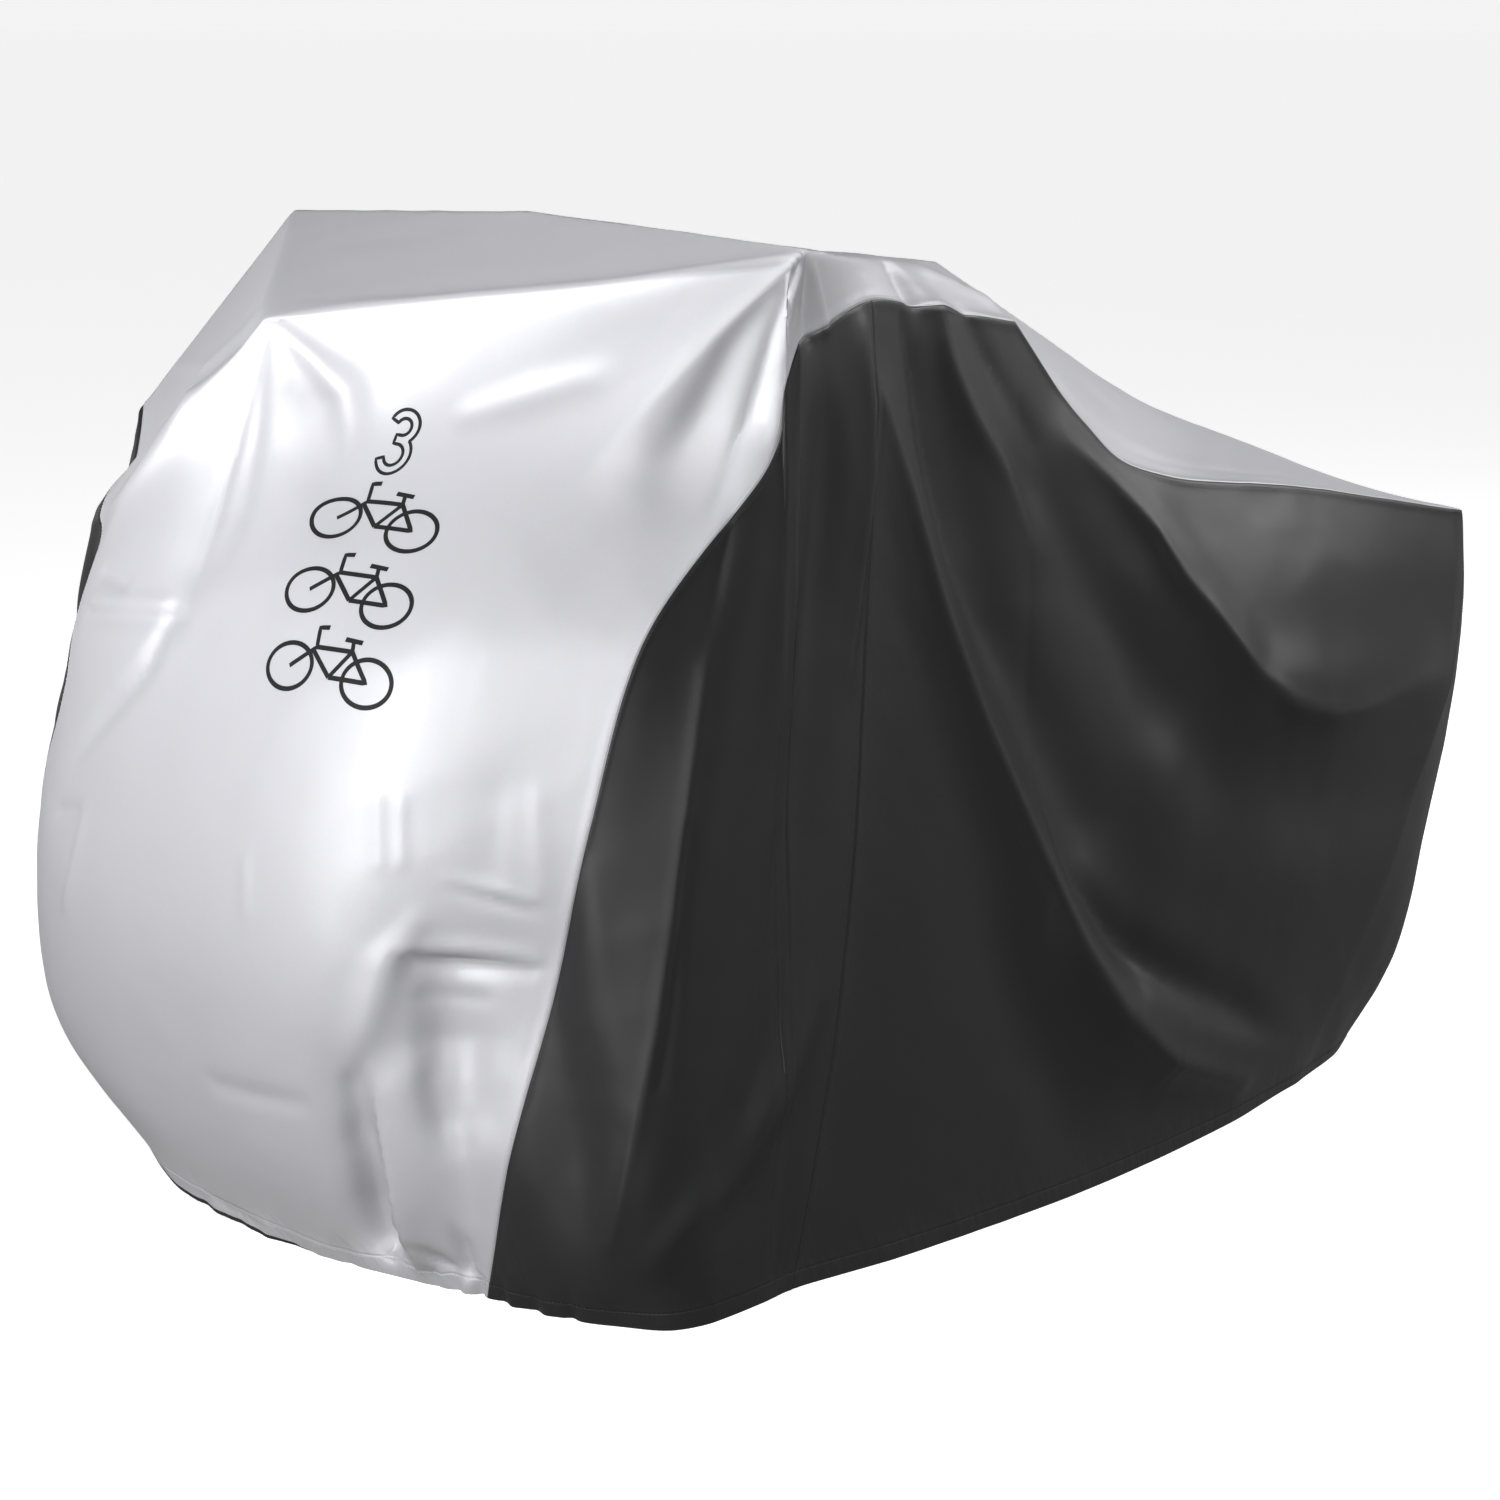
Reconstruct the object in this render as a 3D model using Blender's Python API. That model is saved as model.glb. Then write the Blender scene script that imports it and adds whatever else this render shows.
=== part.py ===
"""A fitted cover for bicycles: a silver centre panel between two black sides, drawn in at the hem.

The cover stands on the ground as it hangs over handlebars and saddles. Its front looks along -Y, the
side with the nearer handlebar end is +X, and +Z is up. Lengths are in metres.

One sheet is worked out first: stations run from the front hem up over the bars and the saddles and
down to the rear hem, and each station crosses the cover from the far hem to the near hem. Folds are
then pressed into it, and the sheet is parted at its seams into the panels that were sewn together.
"""

from collections import namedtuple

import bmesh
import bpy
import numpy as np

# Driving dimensions
CLOTH_THICKNESS = 0.0012
SEAM_GAP = 0.0003
GRID_STEP = 0.048  # spacing of the rows along the cover
SILVER_COLUMNS = 18
SIDE_COLUMNS = 14
TAPE_WIDTH = 0.012
TAPE_THICKNESS = 0.0012
TAPE_CLEARANCE = 0.0006  # from the cloth's inner face
TAPE_LEAN = 0.40  # how far the tape's top edge lies inwards, as a share of its width
TAPE_STEP = 0.012  # the least spacing of the tape's points
TAPE_PEEP = 0.006  # how far the tape hangs below a hem that is off the ground

# A station is a section of the cover. Each place is x, y, z. The belly is how far the middle of the
# silver stands out from the line between its shoulders, and a swell is how far a black side stands
# out from the line between seam and hem at the three SWELL_PLACES. The sweep is how far the middle of
# a side is drawn to the rear of that line. Taut is 1 where the silver runs straight from shoulder to
# shoulder, and 0 where it is round. A corner is a station where the sheet is bent sharply over what
# lies under it.
Station = namedtuple(
    "Station",
    "name far_hem far_seam far_shoulder near_shoulder near_seam near_hem belly far_swell near_swell"
    " sweep taut corner",
)
STATIONS = (
    Station("front hem", (-0.340, -0.715, 0.020), (-0.340, -0.715, 0.020), (-0.130, -0.822, 0.018),
            (0.163, -0.832, 0.000), (0.355, -0.800, 0.000), (0.355, -0.800, 0.000),
            0.010, (0.000, 0.000, 0.000), (0.000, 0.000, 0.000), 0.000, 0.3, False),
    Station("front low", (-0.418, -0.610, 0.010), (-0.450, -0.695, 0.160), (-0.360, -0.800, 0.150),
            (0.190, -0.875, 0.130), (0.395, -0.805, 0.160), (0.455, -0.788, 0.000),
            0.030, (0.000, 0.005, 0.008), (0.004, 0.008, 0.008), 0.000, 0.1, False),
    Station("front wheels", (-0.452, -0.530, 0.005), (-0.450, -0.745, 0.368), (-0.360, -0.830, 0.360),
            (0.210, -0.895, 0.320), (0.420, -0.760, 0.335), (0.515, -0.765, 0.000),
            0.030, (0.010, 0.020, 0.030), (0.006, 0.014, 0.018), 0.000, 0.1, False),
    Station("front middle", (-0.466, -0.475, 0.000), (-0.425, -0.733, 0.553), (-0.340, -0.800, 0.560),
            (0.240, -0.860, 0.500), (0.450, -0.737, 0.510), (0.563, -0.736, 0.000),
            0.030, (0.046, 0.055, 0.052), (0.008, 0.018, 0.024), 0.000, 0.1, False),
    Station("front high", (-0.475, -0.430, 0.000), (-0.420, -0.688, 0.645), (-0.310, -0.775, 0.700),
            (0.280, -0.790, 0.670), (0.455, -0.667, 0.687), (0.579, -0.690, 0.000),
            0.020, (0.062, 0.072, 0.058), (0.008, 0.022, 0.026), 0.000, 0.2, False),
    Station("under the bars", (-0.482, -0.390, 0.000), (-0.430, -0.688, 0.730), (-0.220, -0.735, 0.860),
            (0.340, -0.610, 0.870), (0.470, -0.490, 0.857), (0.580, -0.648, 0.000),
            0.000, (0.058, 0.076, 0.058), (0.004, 0.018, 0.022), 0.005, 0.5, False),
    Station("front ridge", (-0.488, -0.350, 0.000), (-0.445, -0.625, 0.780), (-0.110, -0.680, 0.994),
            (0.475, -0.458, 1.068), (0.470, -0.458, 0.950), (0.580, -0.616, 0.000),
            0.000, (0.048, 0.070, 0.057), (0.000, 0.008, 0.014), 0.015, 1.0, True),
    Station("bar crest", (-0.492, -0.315, 0.000), (-0.465, -0.575, 0.857), (-0.378, -0.398, 1.092),
            (0.485, -0.445, 1.084), (0.468, -0.435, 0.985), (0.579, -0.603, 0.000),
            0.018, (0.030, 0.055, 0.050), (0.000, 0.004, 0.010), 0.022, 1.0, True),
    Station("behind the bars", (-0.498, -0.255, 0.000), (-0.440, -0.270, 0.985), (-0.345, -0.225, 1.047),
            (0.400, -0.270, 1.064), (0.420, -0.263, 1.017), (0.577, -0.567, 0.000),
            -0.015, (0.015, 0.030, 0.040), (0.000, 0.000, 0.008), 0.040, 0.8, False),
    Station("before the saddles", (-0.500, -0.190, 0.000), (-0.400, -0.110, 0.985), (-0.300, -0.100, 1.020),
            (0.320, -0.100, 1.050), (0.385, -0.115, 0.998), (0.600, -0.420, 0.000),
            -0.020, (0.010, 0.025, 0.040), (0.004, 0.010, 0.018), 0.034, 0.6, False),
    Station("saddles", (-0.500, -0.100, 0.000), (-0.380, 0.070, 0.955), (-0.240, 0.060, 1.015),
            (0.250, 0.061, 1.035), (0.360, 0.074, 0.969), (0.615, -0.250, 0.000),
            -0.020, (0.012, 0.030, 0.040), (0.008, 0.020, 0.028), 0.018, 0.7, True),
    Station("behind the saddles", (-0.500, -0.010, 0.000), (-0.400, 0.160, 0.850), (-0.220, 0.250, 0.930),
            (0.240, 0.220, 0.965), (0.395, 0.160, 0.849), (0.620, -0.120, 0.000),
            -0.010, (0.018, 0.035, 0.040), (0.014, 0.028, 0.030), 0.010, 0.5, False),
    Station("dip", (-0.500, 0.080, 0.000), (-0.430, 0.300, 0.770), (-0.200, 0.550, 0.800),
            (0.210, 0.555, 0.823), (0.430, 0.300, 0.769), (0.618, 0.020, 0.000),
            -0.005, (0.030, 0.055, 0.040), (0.026, 0.052, 0.032), 0.000, 0.4, False),
    Station("rear roof", (-0.490, 0.240, 0.000), (-0.455, 0.620, 0.720), (-0.220, 0.800, 0.735),
            (0.230, 0.800, 0.742), (0.458, 0.616, 0.724), (0.605, 0.200, 0.000),
            0.000, (0.040, 0.065, 0.040), (0.040, 0.070, 0.034), 0.000, 0.4, False),
    Station("rear edge", (-0.470, 0.420, 0.000), (-0.470, 0.890, 0.670), (-0.250, 0.930, 0.680),
            (0.250, 0.930, 0.690), (0.480, 0.915, 0.668), (0.575, 0.400, 0.000),
            0.000, (0.030, 0.050, 0.040), (0.030, 0.052, 0.034), 0.000, 0.4, True),
    Station("rear high", (-0.455, 0.500, 0.000), (-0.465, 0.910, 0.550), (-0.250, 0.945, 0.520),
            (0.250, 0.950, 0.520), (0.475, 0.938, 0.540), (0.552, 0.510, 0.000),
            0.010, (0.015, 0.030, 0.036), (0.016, 0.032, 0.034), 0.000, 0.2, False),
    Station("rear wheels", (-0.430, 0.580, 0.000), (-0.440, 0.850, 0.300), (-0.220, 0.900, 0.280),
            (0.220, 0.900, 0.280), (0.462, 0.878, 0.290), (0.510, 0.600, 0.000),
            0.010, (0.008, 0.018, 0.026), (0.008, 0.020, 0.028), 0.000, 0.1, False),
    Station("rear low", (-0.390, 0.650, 0.000), (-0.400, 0.770, 0.120), (-0.200, 0.810, 0.120),
            (0.200, 0.810, 0.120), (0.420, 0.790, 0.120), (0.430, 0.655, 0.000),
            0.010, (0.003, 0.008, 0.010), (0.003, 0.010, 0.012), 0.000, 0.1, False),
    Station("rear hem", (-0.340, 0.680, 0.000), (-0.340, 0.680, 0.000), (-0.150, 0.700, 0.000),
            (0.150, 0.700, 0.000), (0.340, 0.680, 0.000), (0.340, 0.680, 0.000),
            0.010, (0.000, 0.000, 0.000), (0.000, 0.000, 0.000), 0.000, 0.2, False),
)
PANEL_SEAM_STATION = "behind the bars"
SWELL_PLACES = (0.12, 0.40, 0.75)  # shares of the way from a side's seam down to its hem

# A fold is a soft ridge (depth above 0) or trough (depth below 0) along a route of points near the
# sheet, with its width and its depth at each point.
Fold = namedtuple("Fold", "name route widths depths")
FOLDS = (
    # Near side, front panel
    Fold("near corner ridge", ((0.471, -0.500, 0.847), (0.531, -0.690, 0.441), (0.560, -0.781, 0.204),
                               (0.503, -0.782, 0.041)),
         (0.032, 0.040, 0.045, 0.035), (0.008, 0.014, 0.018, 0.008)),
    Fold("bar end hollow", ((0.462, -0.400, 0.880), (0.468, -0.430, 0.709), (0.510, -0.500, 0.500),
                            (0.570, -0.650, 0.150)),
         (0.036, 0.045, 0.052, 0.060), (-0.010, -0.020, -0.026, -0.018)),
    Fold("seam ridge", ((0.434, -0.305, 0.972), (0.446, -0.340, 0.760)), (0.032, 0.036), (0.010, 0.004)),
    # Near side, rear panel: long pulls from behind the bars and from the saddles
    Fold("long pull", ((0.434, -0.258, 0.909), (0.466, -0.196, 0.679), (0.542, -0.127, 0.429),
                       (0.585, -0.085, 0.265), (0.595, -0.010, 0.190), (0.565, 0.400, 0.030)),
         (0.030, 0.036, 0.045, 0.050, 0.050, 0.034), (0.010, 0.016, 0.024, 0.022, 0.018, 0.006)),
    Fold("behind the long pull", ((0.425, -0.150, 0.930), (0.470, -0.095, 0.640), (0.545, -0.020, 0.420)),
         (0.034, 0.045, 0.060), (-0.012, -0.018, -0.014)),
    Fold("second pull", ((0.383, -0.098, 0.993), (0.411, -0.059, 0.852), (0.440, -0.001, 0.720)),
         (0.030, 0.034, 0.036), (0.010, 0.010, 0.004)),
    Fold("under the long pull", ((0.580, -0.190, 0.300), (0.590, -0.120, 0.110)),
         (0.050, 0.060), (-0.008, -0.012)),
    Fold("saddle hollow", ((0.430, 0.040, 0.790), (0.520, 0.160, 0.520)), (0.040, 0.065), (-0.008, -0.016)),
    Fold("rear shoulder", ((0.406, 0.123, 0.826), (0.451, 0.236, 0.728), (0.506, 0.274, 0.634),
                           (0.568, 0.315, 0.525), (0.585, 0.480, 0.490), (0.559, 0.714, 0.486)),
         (0.032, 0.040, 0.050, 0.055, 0.055, 0.050), (0.008, 0.012, 0.016, 0.018, 0.014, 0.012)),
    Fold("rear side hollow", ((0.550, 0.230, 0.420), (0.575, 0.420, 0.360), (0.550, 0.640, 0.350)),
         (0.060, 0.065, 0.065), (-0.014, -0.014, -0.008)),
    # Silver front
    Fold("peak pull", ((-0.120, -0.660, 0.970), (-0.010, -0.672, 0.920), (0.050, -0.700, 0.800)),
         (0.030, 0.036, 0.045), (-0.006, -0.010, -0.008)),
    Fold("peak fall", ((-0.150, -0.690, 0.950), (-0.105, -0.780, 0.730)), (0.030, 0.036), (-0.005, -0.008)),
    Fold("bar end pull", ((0.455, -0.450, 1.020), (0.405, -0.560, 0.820)),
         (0.030, 0.034), (-0.006, -0.008)),
    Fold("front crease hollow", ((0.232, -0.865, 0.230), (0.226, -0.838, 0.050)),
         (0.036, 0.034), (-0.014, -0.016)),
    Fold("front crease ridge", ((0.285, -0.855, 0.230), (0.285, -0.828, 0.050)),
         (0.032, 0.030), (0.010, 0.010)),
    Fold("low front hollow", ((0.322, -0.820, 0.340), (0.345, -0.814, 0.220)),
         (0.040, 0.036), (-0.014, -0.010)),
    Fold("knee crease", ((0.411, -0.765, 0.367), (0.303, -0.838, 0.371)), (0.032, 0.030), (-0.008, -0.006)),
    # Far side
    Fold("far corner ridge", ((-0.450, -0.600, 0.760), (-0.480, -0.640, 0.260)),
         (0.032, 0.045), (0.004, 0.012)),
    Fold("far front hollow", ((-0.480, -0.420, 0.780), (-0.545, -0.420, 0.280)),
         (0.045, 0.065), (-0.010, -0.020)),
    Fold("far long pull", ((-0.430, -0.180, 0.880), (-0.520, -0.080, 0.430), (-0.560, 0.060, 0.220)),
         (0.032, 0.045, 0.050), (0.010, 0.020, 0.018)),
    Fold("behind the far pull", ((-0.440, -0.060, 0.800), (-0.540, 0.080, 0.420)),
         (0.040, 0.060), (-0.010, -0.018)),
    Fold("far shoulder", ((-0.420, 0.160, 0.800), (-0.500, 0.300, 0.620), (-0.550, 0.520, 0.490)),
         (0.034, 0.050, 0.055), (0.008, 0.016, 0.012)),
    Fold("far side hollow", ((-0.530, 0.260, 0.440), (-0.550, 0.560, 0.350)),
         (0.060, 0.065), (-0.014, -0.012)),
    # Rear
    Fold("rear pull near", ((0.280, 0.940, 0.640), (0.240, 0.810, 0.100)), (0.034, 0.045), (0.004, 0.016)),
    Fold("rear hollow", ((0.020, 0.950, 0.600), (0.040, 0.830, 0.120)), (0.050, 0.070), (-0.006, -0.022)),
    Fold("rear pull far", ((-0.240, 0.940, 0.640), (-0.200, 0.810, 0.100)), (0.034, 0.045), (0.004, 0.014)),
)

# Colour, metallic and roughness of each cloth
SILVER = ("silver_coated_cloth", (0.62, 0.62, 0.66), 0.45, 0.42)
BLACK = ("black_polyester", (0.022, 0.022, 0.024), 0.0, 0.62)
TAPE = ("black_elastic", (0.012, 0.012, 0.013), 0.0, 0.85)


def column(table, field):
    """One named column of a table as an array with a row for each entry."""
    return np.array([getattr(row, field) for row in table], float)


def smooth_between(values, knots, corners, at, doubles_back=True):
    """Values between table rows: a cubic through each, with a sharp bend at a corner row.

    Where it may not double back, no slope is over twice the gentler slope of its two sides.
    """
    steps = np.diff(knots)
    slopes = np.diff(values, axis=0) / steps.reshape((-1,) + (1,) * (values.ndim - 1))
    into = np.empty_like(values)
    out_of = np.empty_like(values)
    for row in range(len(values)):
        before = max(row - 1, 0)
        after = min(row, len(slopes) - 1)
        share = steps[before] / (steps[before] + steps[after])
        through = slopes[before] * (1 - share) + slopes[after] * share
        if not doubles_back:
            gentler = np.minimum(abs(slopes[before]), abs(slopes[after]))
            gentler = np.where(slopes[before] * slopes[after] > 0, gentler, 0.0)
            through = np.clip(through, -2 * gentler, 2 * gentler)
        into[row] = slopes[before] if corners[row] else through
        out_of[row] = slopes[after] if corners[row] else through
    span = np.clip(np.searchsorted(knots, at, side="right") - 1, 0, len(steps) - 1)
    shape = (-1,) + (1,) * (values.ndim - 1)
    width = steps[span].reshape(shape)
    t = ((at - knots[span]) / steps[span]).reshape(shape)
    start, end = values[span], values[span + 1]
    return (
        start * (2 * t**3 - 3 * t**2 + 1)
        + end * (3 * t**2 - 2 * t**3)
        + out_of[span] * width * (t**3 - 2 * t**2 + t)
        + into[span + 1] * width * (t**3 - t**2)
    )


def row_positions(middles):
    """Where the rows lie along the cover, with one on every station, and which row the panel seam is."""
    knots = np.concatenate([[0.0], np.cumsum(np.linalg.norm(np.diff(middles, axis=0), axis=1))])
    rows = [knots[:1]]
    seam_row = 0
    for index in range(len(knots) - 1):
        count = max(1, round((knots[index + 1] - knots[index]) / GRID_STEP))
        rows.append(np.linspace(knots[index], knots[index + 1], count + 1)[1:])
        if STATIONS[index + 1].name == PANEL_SEAM_STATION:
            seam_row = sum(map(len, rows)) - 1
    return knots, np.concatenate(rows), seam_row


def unit(vectors):
    """The vectors at length 1, leaving any of no length as they are."""
    lengths = np.linalg.norm(vectors, axis=-1, keepdims=True)
    return vectors / np.where(lengths > 1e-9, lengths, 1.0)


def side_columns(seam, hem, swell, outward, sweep):
    """A black side's points from its seam down to its hem, without the seam's own."""
    knots = np.array((0.0, *SWELL_PLACES, 1.0))
    level = np.zeros((1, len(swell)))
    stands = np.concatenate([level, swell.T, level])
    shares = np.linspace(0.0, 1.0, SIDE_COLUMNS + 1)[1:]
    stands = smooth_between(stands, knots, [False] * len(knots), shares)
    columns = []
    for share, stand in zip(shares, stands):
        points = seam + (hem - seam) * share + outward * stand[:, None]
        points[:, 1] += sweep * np.sin(np.pi * share)
        columns.append(points)
    return columns


def smooth_sheet():
    """The cover's one sheet without folds: rows along it, columns from the far hem to the near hem."""
    far_shoulder, near_shoulder = column(STATIONS, "far_shoulder"), column(STATIONS, "near_shoulder")
    far_seam, near_seam = column(STATIONS, "far_seam"), column(STATIONS, "near_seam")
    middles = (far_shoulder + near_shoulder) / 2
    knots, rows, seam_row = row_positions(middles)
    along = np.gradient(middles, knots, axis=0)
    out = unit(np.cross(near_shoulder - far_shoulder, along))
    crown = middles + out * column(STATIONS, "belly")[:, None]
    corners = [station.corner for station in STATIONS]

    controls = np.stack([far_seam, far_shoulder, crown, near_shoulder, near_seam], axis=1)
    controls = smooth_between(controls, knots, corners, rows)
    taut = smooth_between(column(STATIONS, "taut"), knots, corners, rows)
    shares = np.linspace(0.0, 1.0, SILVER_COLUMNS + 1)
    silver = np.empty((len(rows), SILVER_COLUMNS + 1, 3))
    for index, points in enumerate(controls):
        lengths = np.linalg.norm(np.diff(points, axis=0), axis=1)
        places = np.concatenate([[0.0], np.cumsum(lengths)]) / lengths.sum()
        round_run = smooth_between(points, places, [False] * 5, shares)
        straight_run = np.stack([np.interp(shares, places, axis) for axis in points.T], axis=1)
        silver[index] = round_run + (straight_run - round_run) * np.clip(taut[index], 0.0, 1.0)

    sweep = smooth_between(column(STATIONS, "sweep"), knots, corners, rows)
    sides = {}
    for side in ("far", "near"):
        seam = silver[:, 0 if side == "far" else -1]
        hem = smooth_between(column(STATIONS, side + "_hem"), knots, corners, rows, doubles_back=False)
        swell = smooth_between(column(STATIONS, side + "_swell"), knots, corners, rows)
        outward = np.cross(np.gradient(hem, axis=0), (0.0, 0.0, 1.0 if side == "near" else -1.0))
        sides[side] = side_columns(seam, hem, swell, unit(outward), sweep)
    sheet = np.stack(sides["far"][::-1] + list(silver.transpose(1, 0, 2)) + sides["near"], axis=1)
    return sheet, seam_row


def sheet_normals(sheet):
    """The outward direction at each point, from the faces that meet there."""
    across = sheet[:, 1:] - sheet[:, :-1]
    along = sheet[1:] - sheet[:-1]
    faces = np.cross(across[:-1] + across[1:], along[:, :-1] + along[:, 1:])
    normals = np.zeros_like(sheet)
    for row in (0, 1):
        for place in (0, 1):
            rows = slice(row, sheet.shape[0] - 1 + row)
            places = slice(place, sheet.shape[1] - 1 + place)
            normals[rows, places] += faces
    for row in (0, -1):
        for foot in (slice(0, SIDE_COLUMNS + 1), slice(SIDE_COLUMNS + SILVER_COLUMNS, None)):
            normals[row, foot] = normals[row, foot].sum(axis=0)
    return unit(normals)


def fold_depth(points, fold):
    """How far a fold moves each point outwards."""
    route = np.array(fold.route)
    runs = np.diff(route, axis=0)
    lengths = np.linalg.norm(runs, axis=1)
    nearest = np.full(points.shape[:-1], np.inf)
    place = np.zeros(points.shape[:-1])
    for index, (start, run, length) in enumerate(zip(route, runs, lengths)):
        share = np.clip(((points - start) @ run) / length**2, 0.0, 1.0)
        distance = np.linalg.norm(points - (start + share[..., None] * run), axis=-1)
        nearer = distance < nearest
        nearest[nearer] = distance[nearer]
        place[nearer] = index + share[nearer]
    stops = np.arange(len(route))
    width = np.interp(place, stops, fold.widths)
    depth = np.interp(place, stops, fold.depths)
    return depth * np.exp(-((nearest / width) ** 2))


def draped_sheet():
    """The sheet with its folds, its outward directions, and the row where the side panels meet."""
    sheet, seam_row = smooth_sheet()
    normals = sheet_normals(sheet)
    depth = sum((fold_depth(sheet, fold) for fold in FOLDS), np.zeros(sheet.shape[:2]))
    ground = np.clip(sheet[..., 2] / 0.06, 0.0, 1.0)
    sheet = sheet + normals * (depth * ground)[..., None]
    sheet[..., 2] = np.maximum(sheet[..., 2], 0.0)
    normals = sheet_normals(sheet)
    for hem in (normals[0], normals[-1], normals[:, 0], normals[:, -1]):
        hem[:, 2] = 0.0
    return sheet, unit(normals), seam_row


def square_to(directions, edge):
    """The directions without their share along the edge, at length 1."""
    runs = unit(np.gradient(edge, axis=0))
    return unit(directions - runs * (directions * runs).sum(axis=1, keepdims=True))


def drawn_back(points, edges):
    """A panel's points with the edges that meet a seam drawn back by half the seam's gap."""
    points = points.copy()
    half = SEAM_GAP / 2
    if "first column" in edges:
        points[:, 0] += square_to(points[:, 1] - points[:, 0], points[:, 0]) * half
    if "last column" in edges:
        points[:, -1] += square_to(points[:, -2] - points[:, -1], points[:, -1]) * half
    if "first row" in edges:
        points[0] += square_to(points[1] - points[0], points[0]) * half
    if "last row" in edges:
        points[-1] += square_to(points[-2] - points[-1], points[-1]) * half
    for row, inner in ((0, 1), (-1, -2)):
        if np.ptp(points[row], axis=0).max() < SEAM_GAP:
            points[row] += unit(points[inner].mean(axis=0) - points[row]) * SEAM_GAP
            points[row] = points[row].mean(axis=0)
    return points


def material(look):
    """A plain material of one cloth."""
    name, colour, metallic, roughness = look
    found = bpy.data.materials.get(name)
    if found:
        return found
    made = bpy.data.materials.new(name)
    made.use_nodes = True
    shader = made.node_tree.nodes["Principled BSDF"]
    shader.inputs["Base Color"].default_value = (*colour, 1.0)
    shader.inputs["Metallic"].default_value = metallic
    shader.inputs["Roughness"].default_value = roughness
    return made


def cloth_panel(name, points, normals, look, collection, edges=()):
    """A panel as a closed sheet: two lofted skins whose cut edges follow the seam's own direction.

    Solidify would turn each panel's cut edge to that panel's normal, so two panels would wedge into
    each other at a seam. Here both share the direction that the whole sheet has there. Both skins are
    split along the same, shorter diagonal of each cell, so they stay apart where a cell is twisted.
    """
    points = drawn_back(points, edges)
    rows, places = points.shape[:2]
    mesh = bmesh.new()
    skins = []
    for side in (0.5, -0.5):
        places_3d = (points + normals * side * CLOTH_THICKNESS).reshape(-1, 3)
        skins.append(np.array([mesh.verts.new(place) for place in places_3d]).reshape(rows, places))
    outer, inner = skins
    for row in range(rows - 1):
        for place in range(places - 1):
            a, b, c, d = (row, place), (row, place + 1), (row + 1, place + 1), (row + 1, place)
            first_is_shorter = np.linalg.norm(points[a] - points[c]) < np.linalg.norm(points[b] - points[d])
            for corners in ((a, b, c), (a, c, d)) if first_is_shorter else ((a, b, d), (b, c, d)):
                mesh.faces.new([outer[corner] for corner in corners])
                mesh.faces.new([inner[corner] for corner in reversed(corners)])
    rim = [(0, place) for place in range(places)]
    rim += [(row, places - 1) for row in range(1, rows)]
    rim += [(rows - 1, place) for place in range(places - 2, -1, -1)]
    rim += [(row, 0) for row in range(rows - 2, 0, -1)]
    for here, there in zip(rim, rim[1:] + rim[:1]):
        mesh.faces.new((outer[there], outer[here], inner[here], inner[there]))
    bmesh.ops.remove_doubles(mesh, verts=mesh.verts, dist=SEAM_GAP / 10)
    bmesh.ops.recalc_face_normals(mesh, faces=mesh.faces)
    return finished(name, mesh, look, collection)


def hem_tape(sheet, normals, collection):
    """The elastic tape inside the hem: one closed band with four corners at each place."""
    near, far = sheet[1:-1, -1], sheet[1:-1, 0][::-1]
    silver = slice(SIDE_COLUMNS, SIDE_COLUMNS + SILVER_COLUMNS + 1)
    hem = [sheet[0, SIDE_COLUMNS]]
    for place in np.concatenate([sheet[0, silver], near, sheet[-1, silver][::-1], far]):
        if min(np.linalg.norm(place - hem[-1]), np.linalg.norm(place - hem[0])) > TAPE_STEP:
            hem.append(place)
    hem = np.array(hem)
    run = unit(np.roll(hem, -1, axis=0) - np.roll(hem, 1, axis=0))
    inward = unit(np.cross((0.0, 0.0, 1.0), run))
    outer = hem + inward * (CLOTH_THICKNESS / 2 + TAPE_CLEARANCE)
    outer[:, 2] = np.maximum(hem[:, 2] - TAPE_PEEP, 0.0005)
    rise = np.array((0.0, 0.0, TAPE_WIDTH)) + inward * TAPE_LEAN * TAPE_WIDTH
    across = inward * TAPE_THICKNESS
    corners = (outer, outer + rise, outer + rise + across, outer + across)
    mesh = bmesh.new()
    loops = [[mesh.verts.new(place) for place in corner] for corner in corners]
    for loop, next_loop in zip(loops, loops[1:] + loops[:1]):
        for place in range(len(loop)):
            after = (place + 1) % len(loop)
            mesh.faces.new((loop[place], loop[after], next_loop[after], next_loop[place]))
    bmesh.ops.recalc_face_normals(mesh, faces=mesh.faces)
    return finished("hem_elastic", mesh, TAPE, collection)


def finished(name, mesh, look, collection):
    """A named object in the cover's collection, shaded smooth."""
    data = bpy.data.meshes.new(name)
    mesh.to_mesh(data)
    mesh.free()
    data.materials.append(material(look))
    data.shade_smooth()
    piece = bpy.data.objects.new(name, data)
    collection.objects.link(piece)
    return piece


def stand_on_origin(pieces):
    """Moves the pieces so that the middle of their box's underside is the origin."""
    points = np.array([vertex.co[:] for piece in pieces for vertex in piece.data.vertices])
    low, high = points.min(axis=0), points.max(axis=0)
    middle = ((low[0] + high[0]) / 2, (low[1] + high[1]) / 2, low[2])
    for piece in pieces:
        for vertex in piece.data.vertices:
            vertex.co = [place - shift for place, shift in zip(vertex.co, middle)]
    return middle


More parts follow.
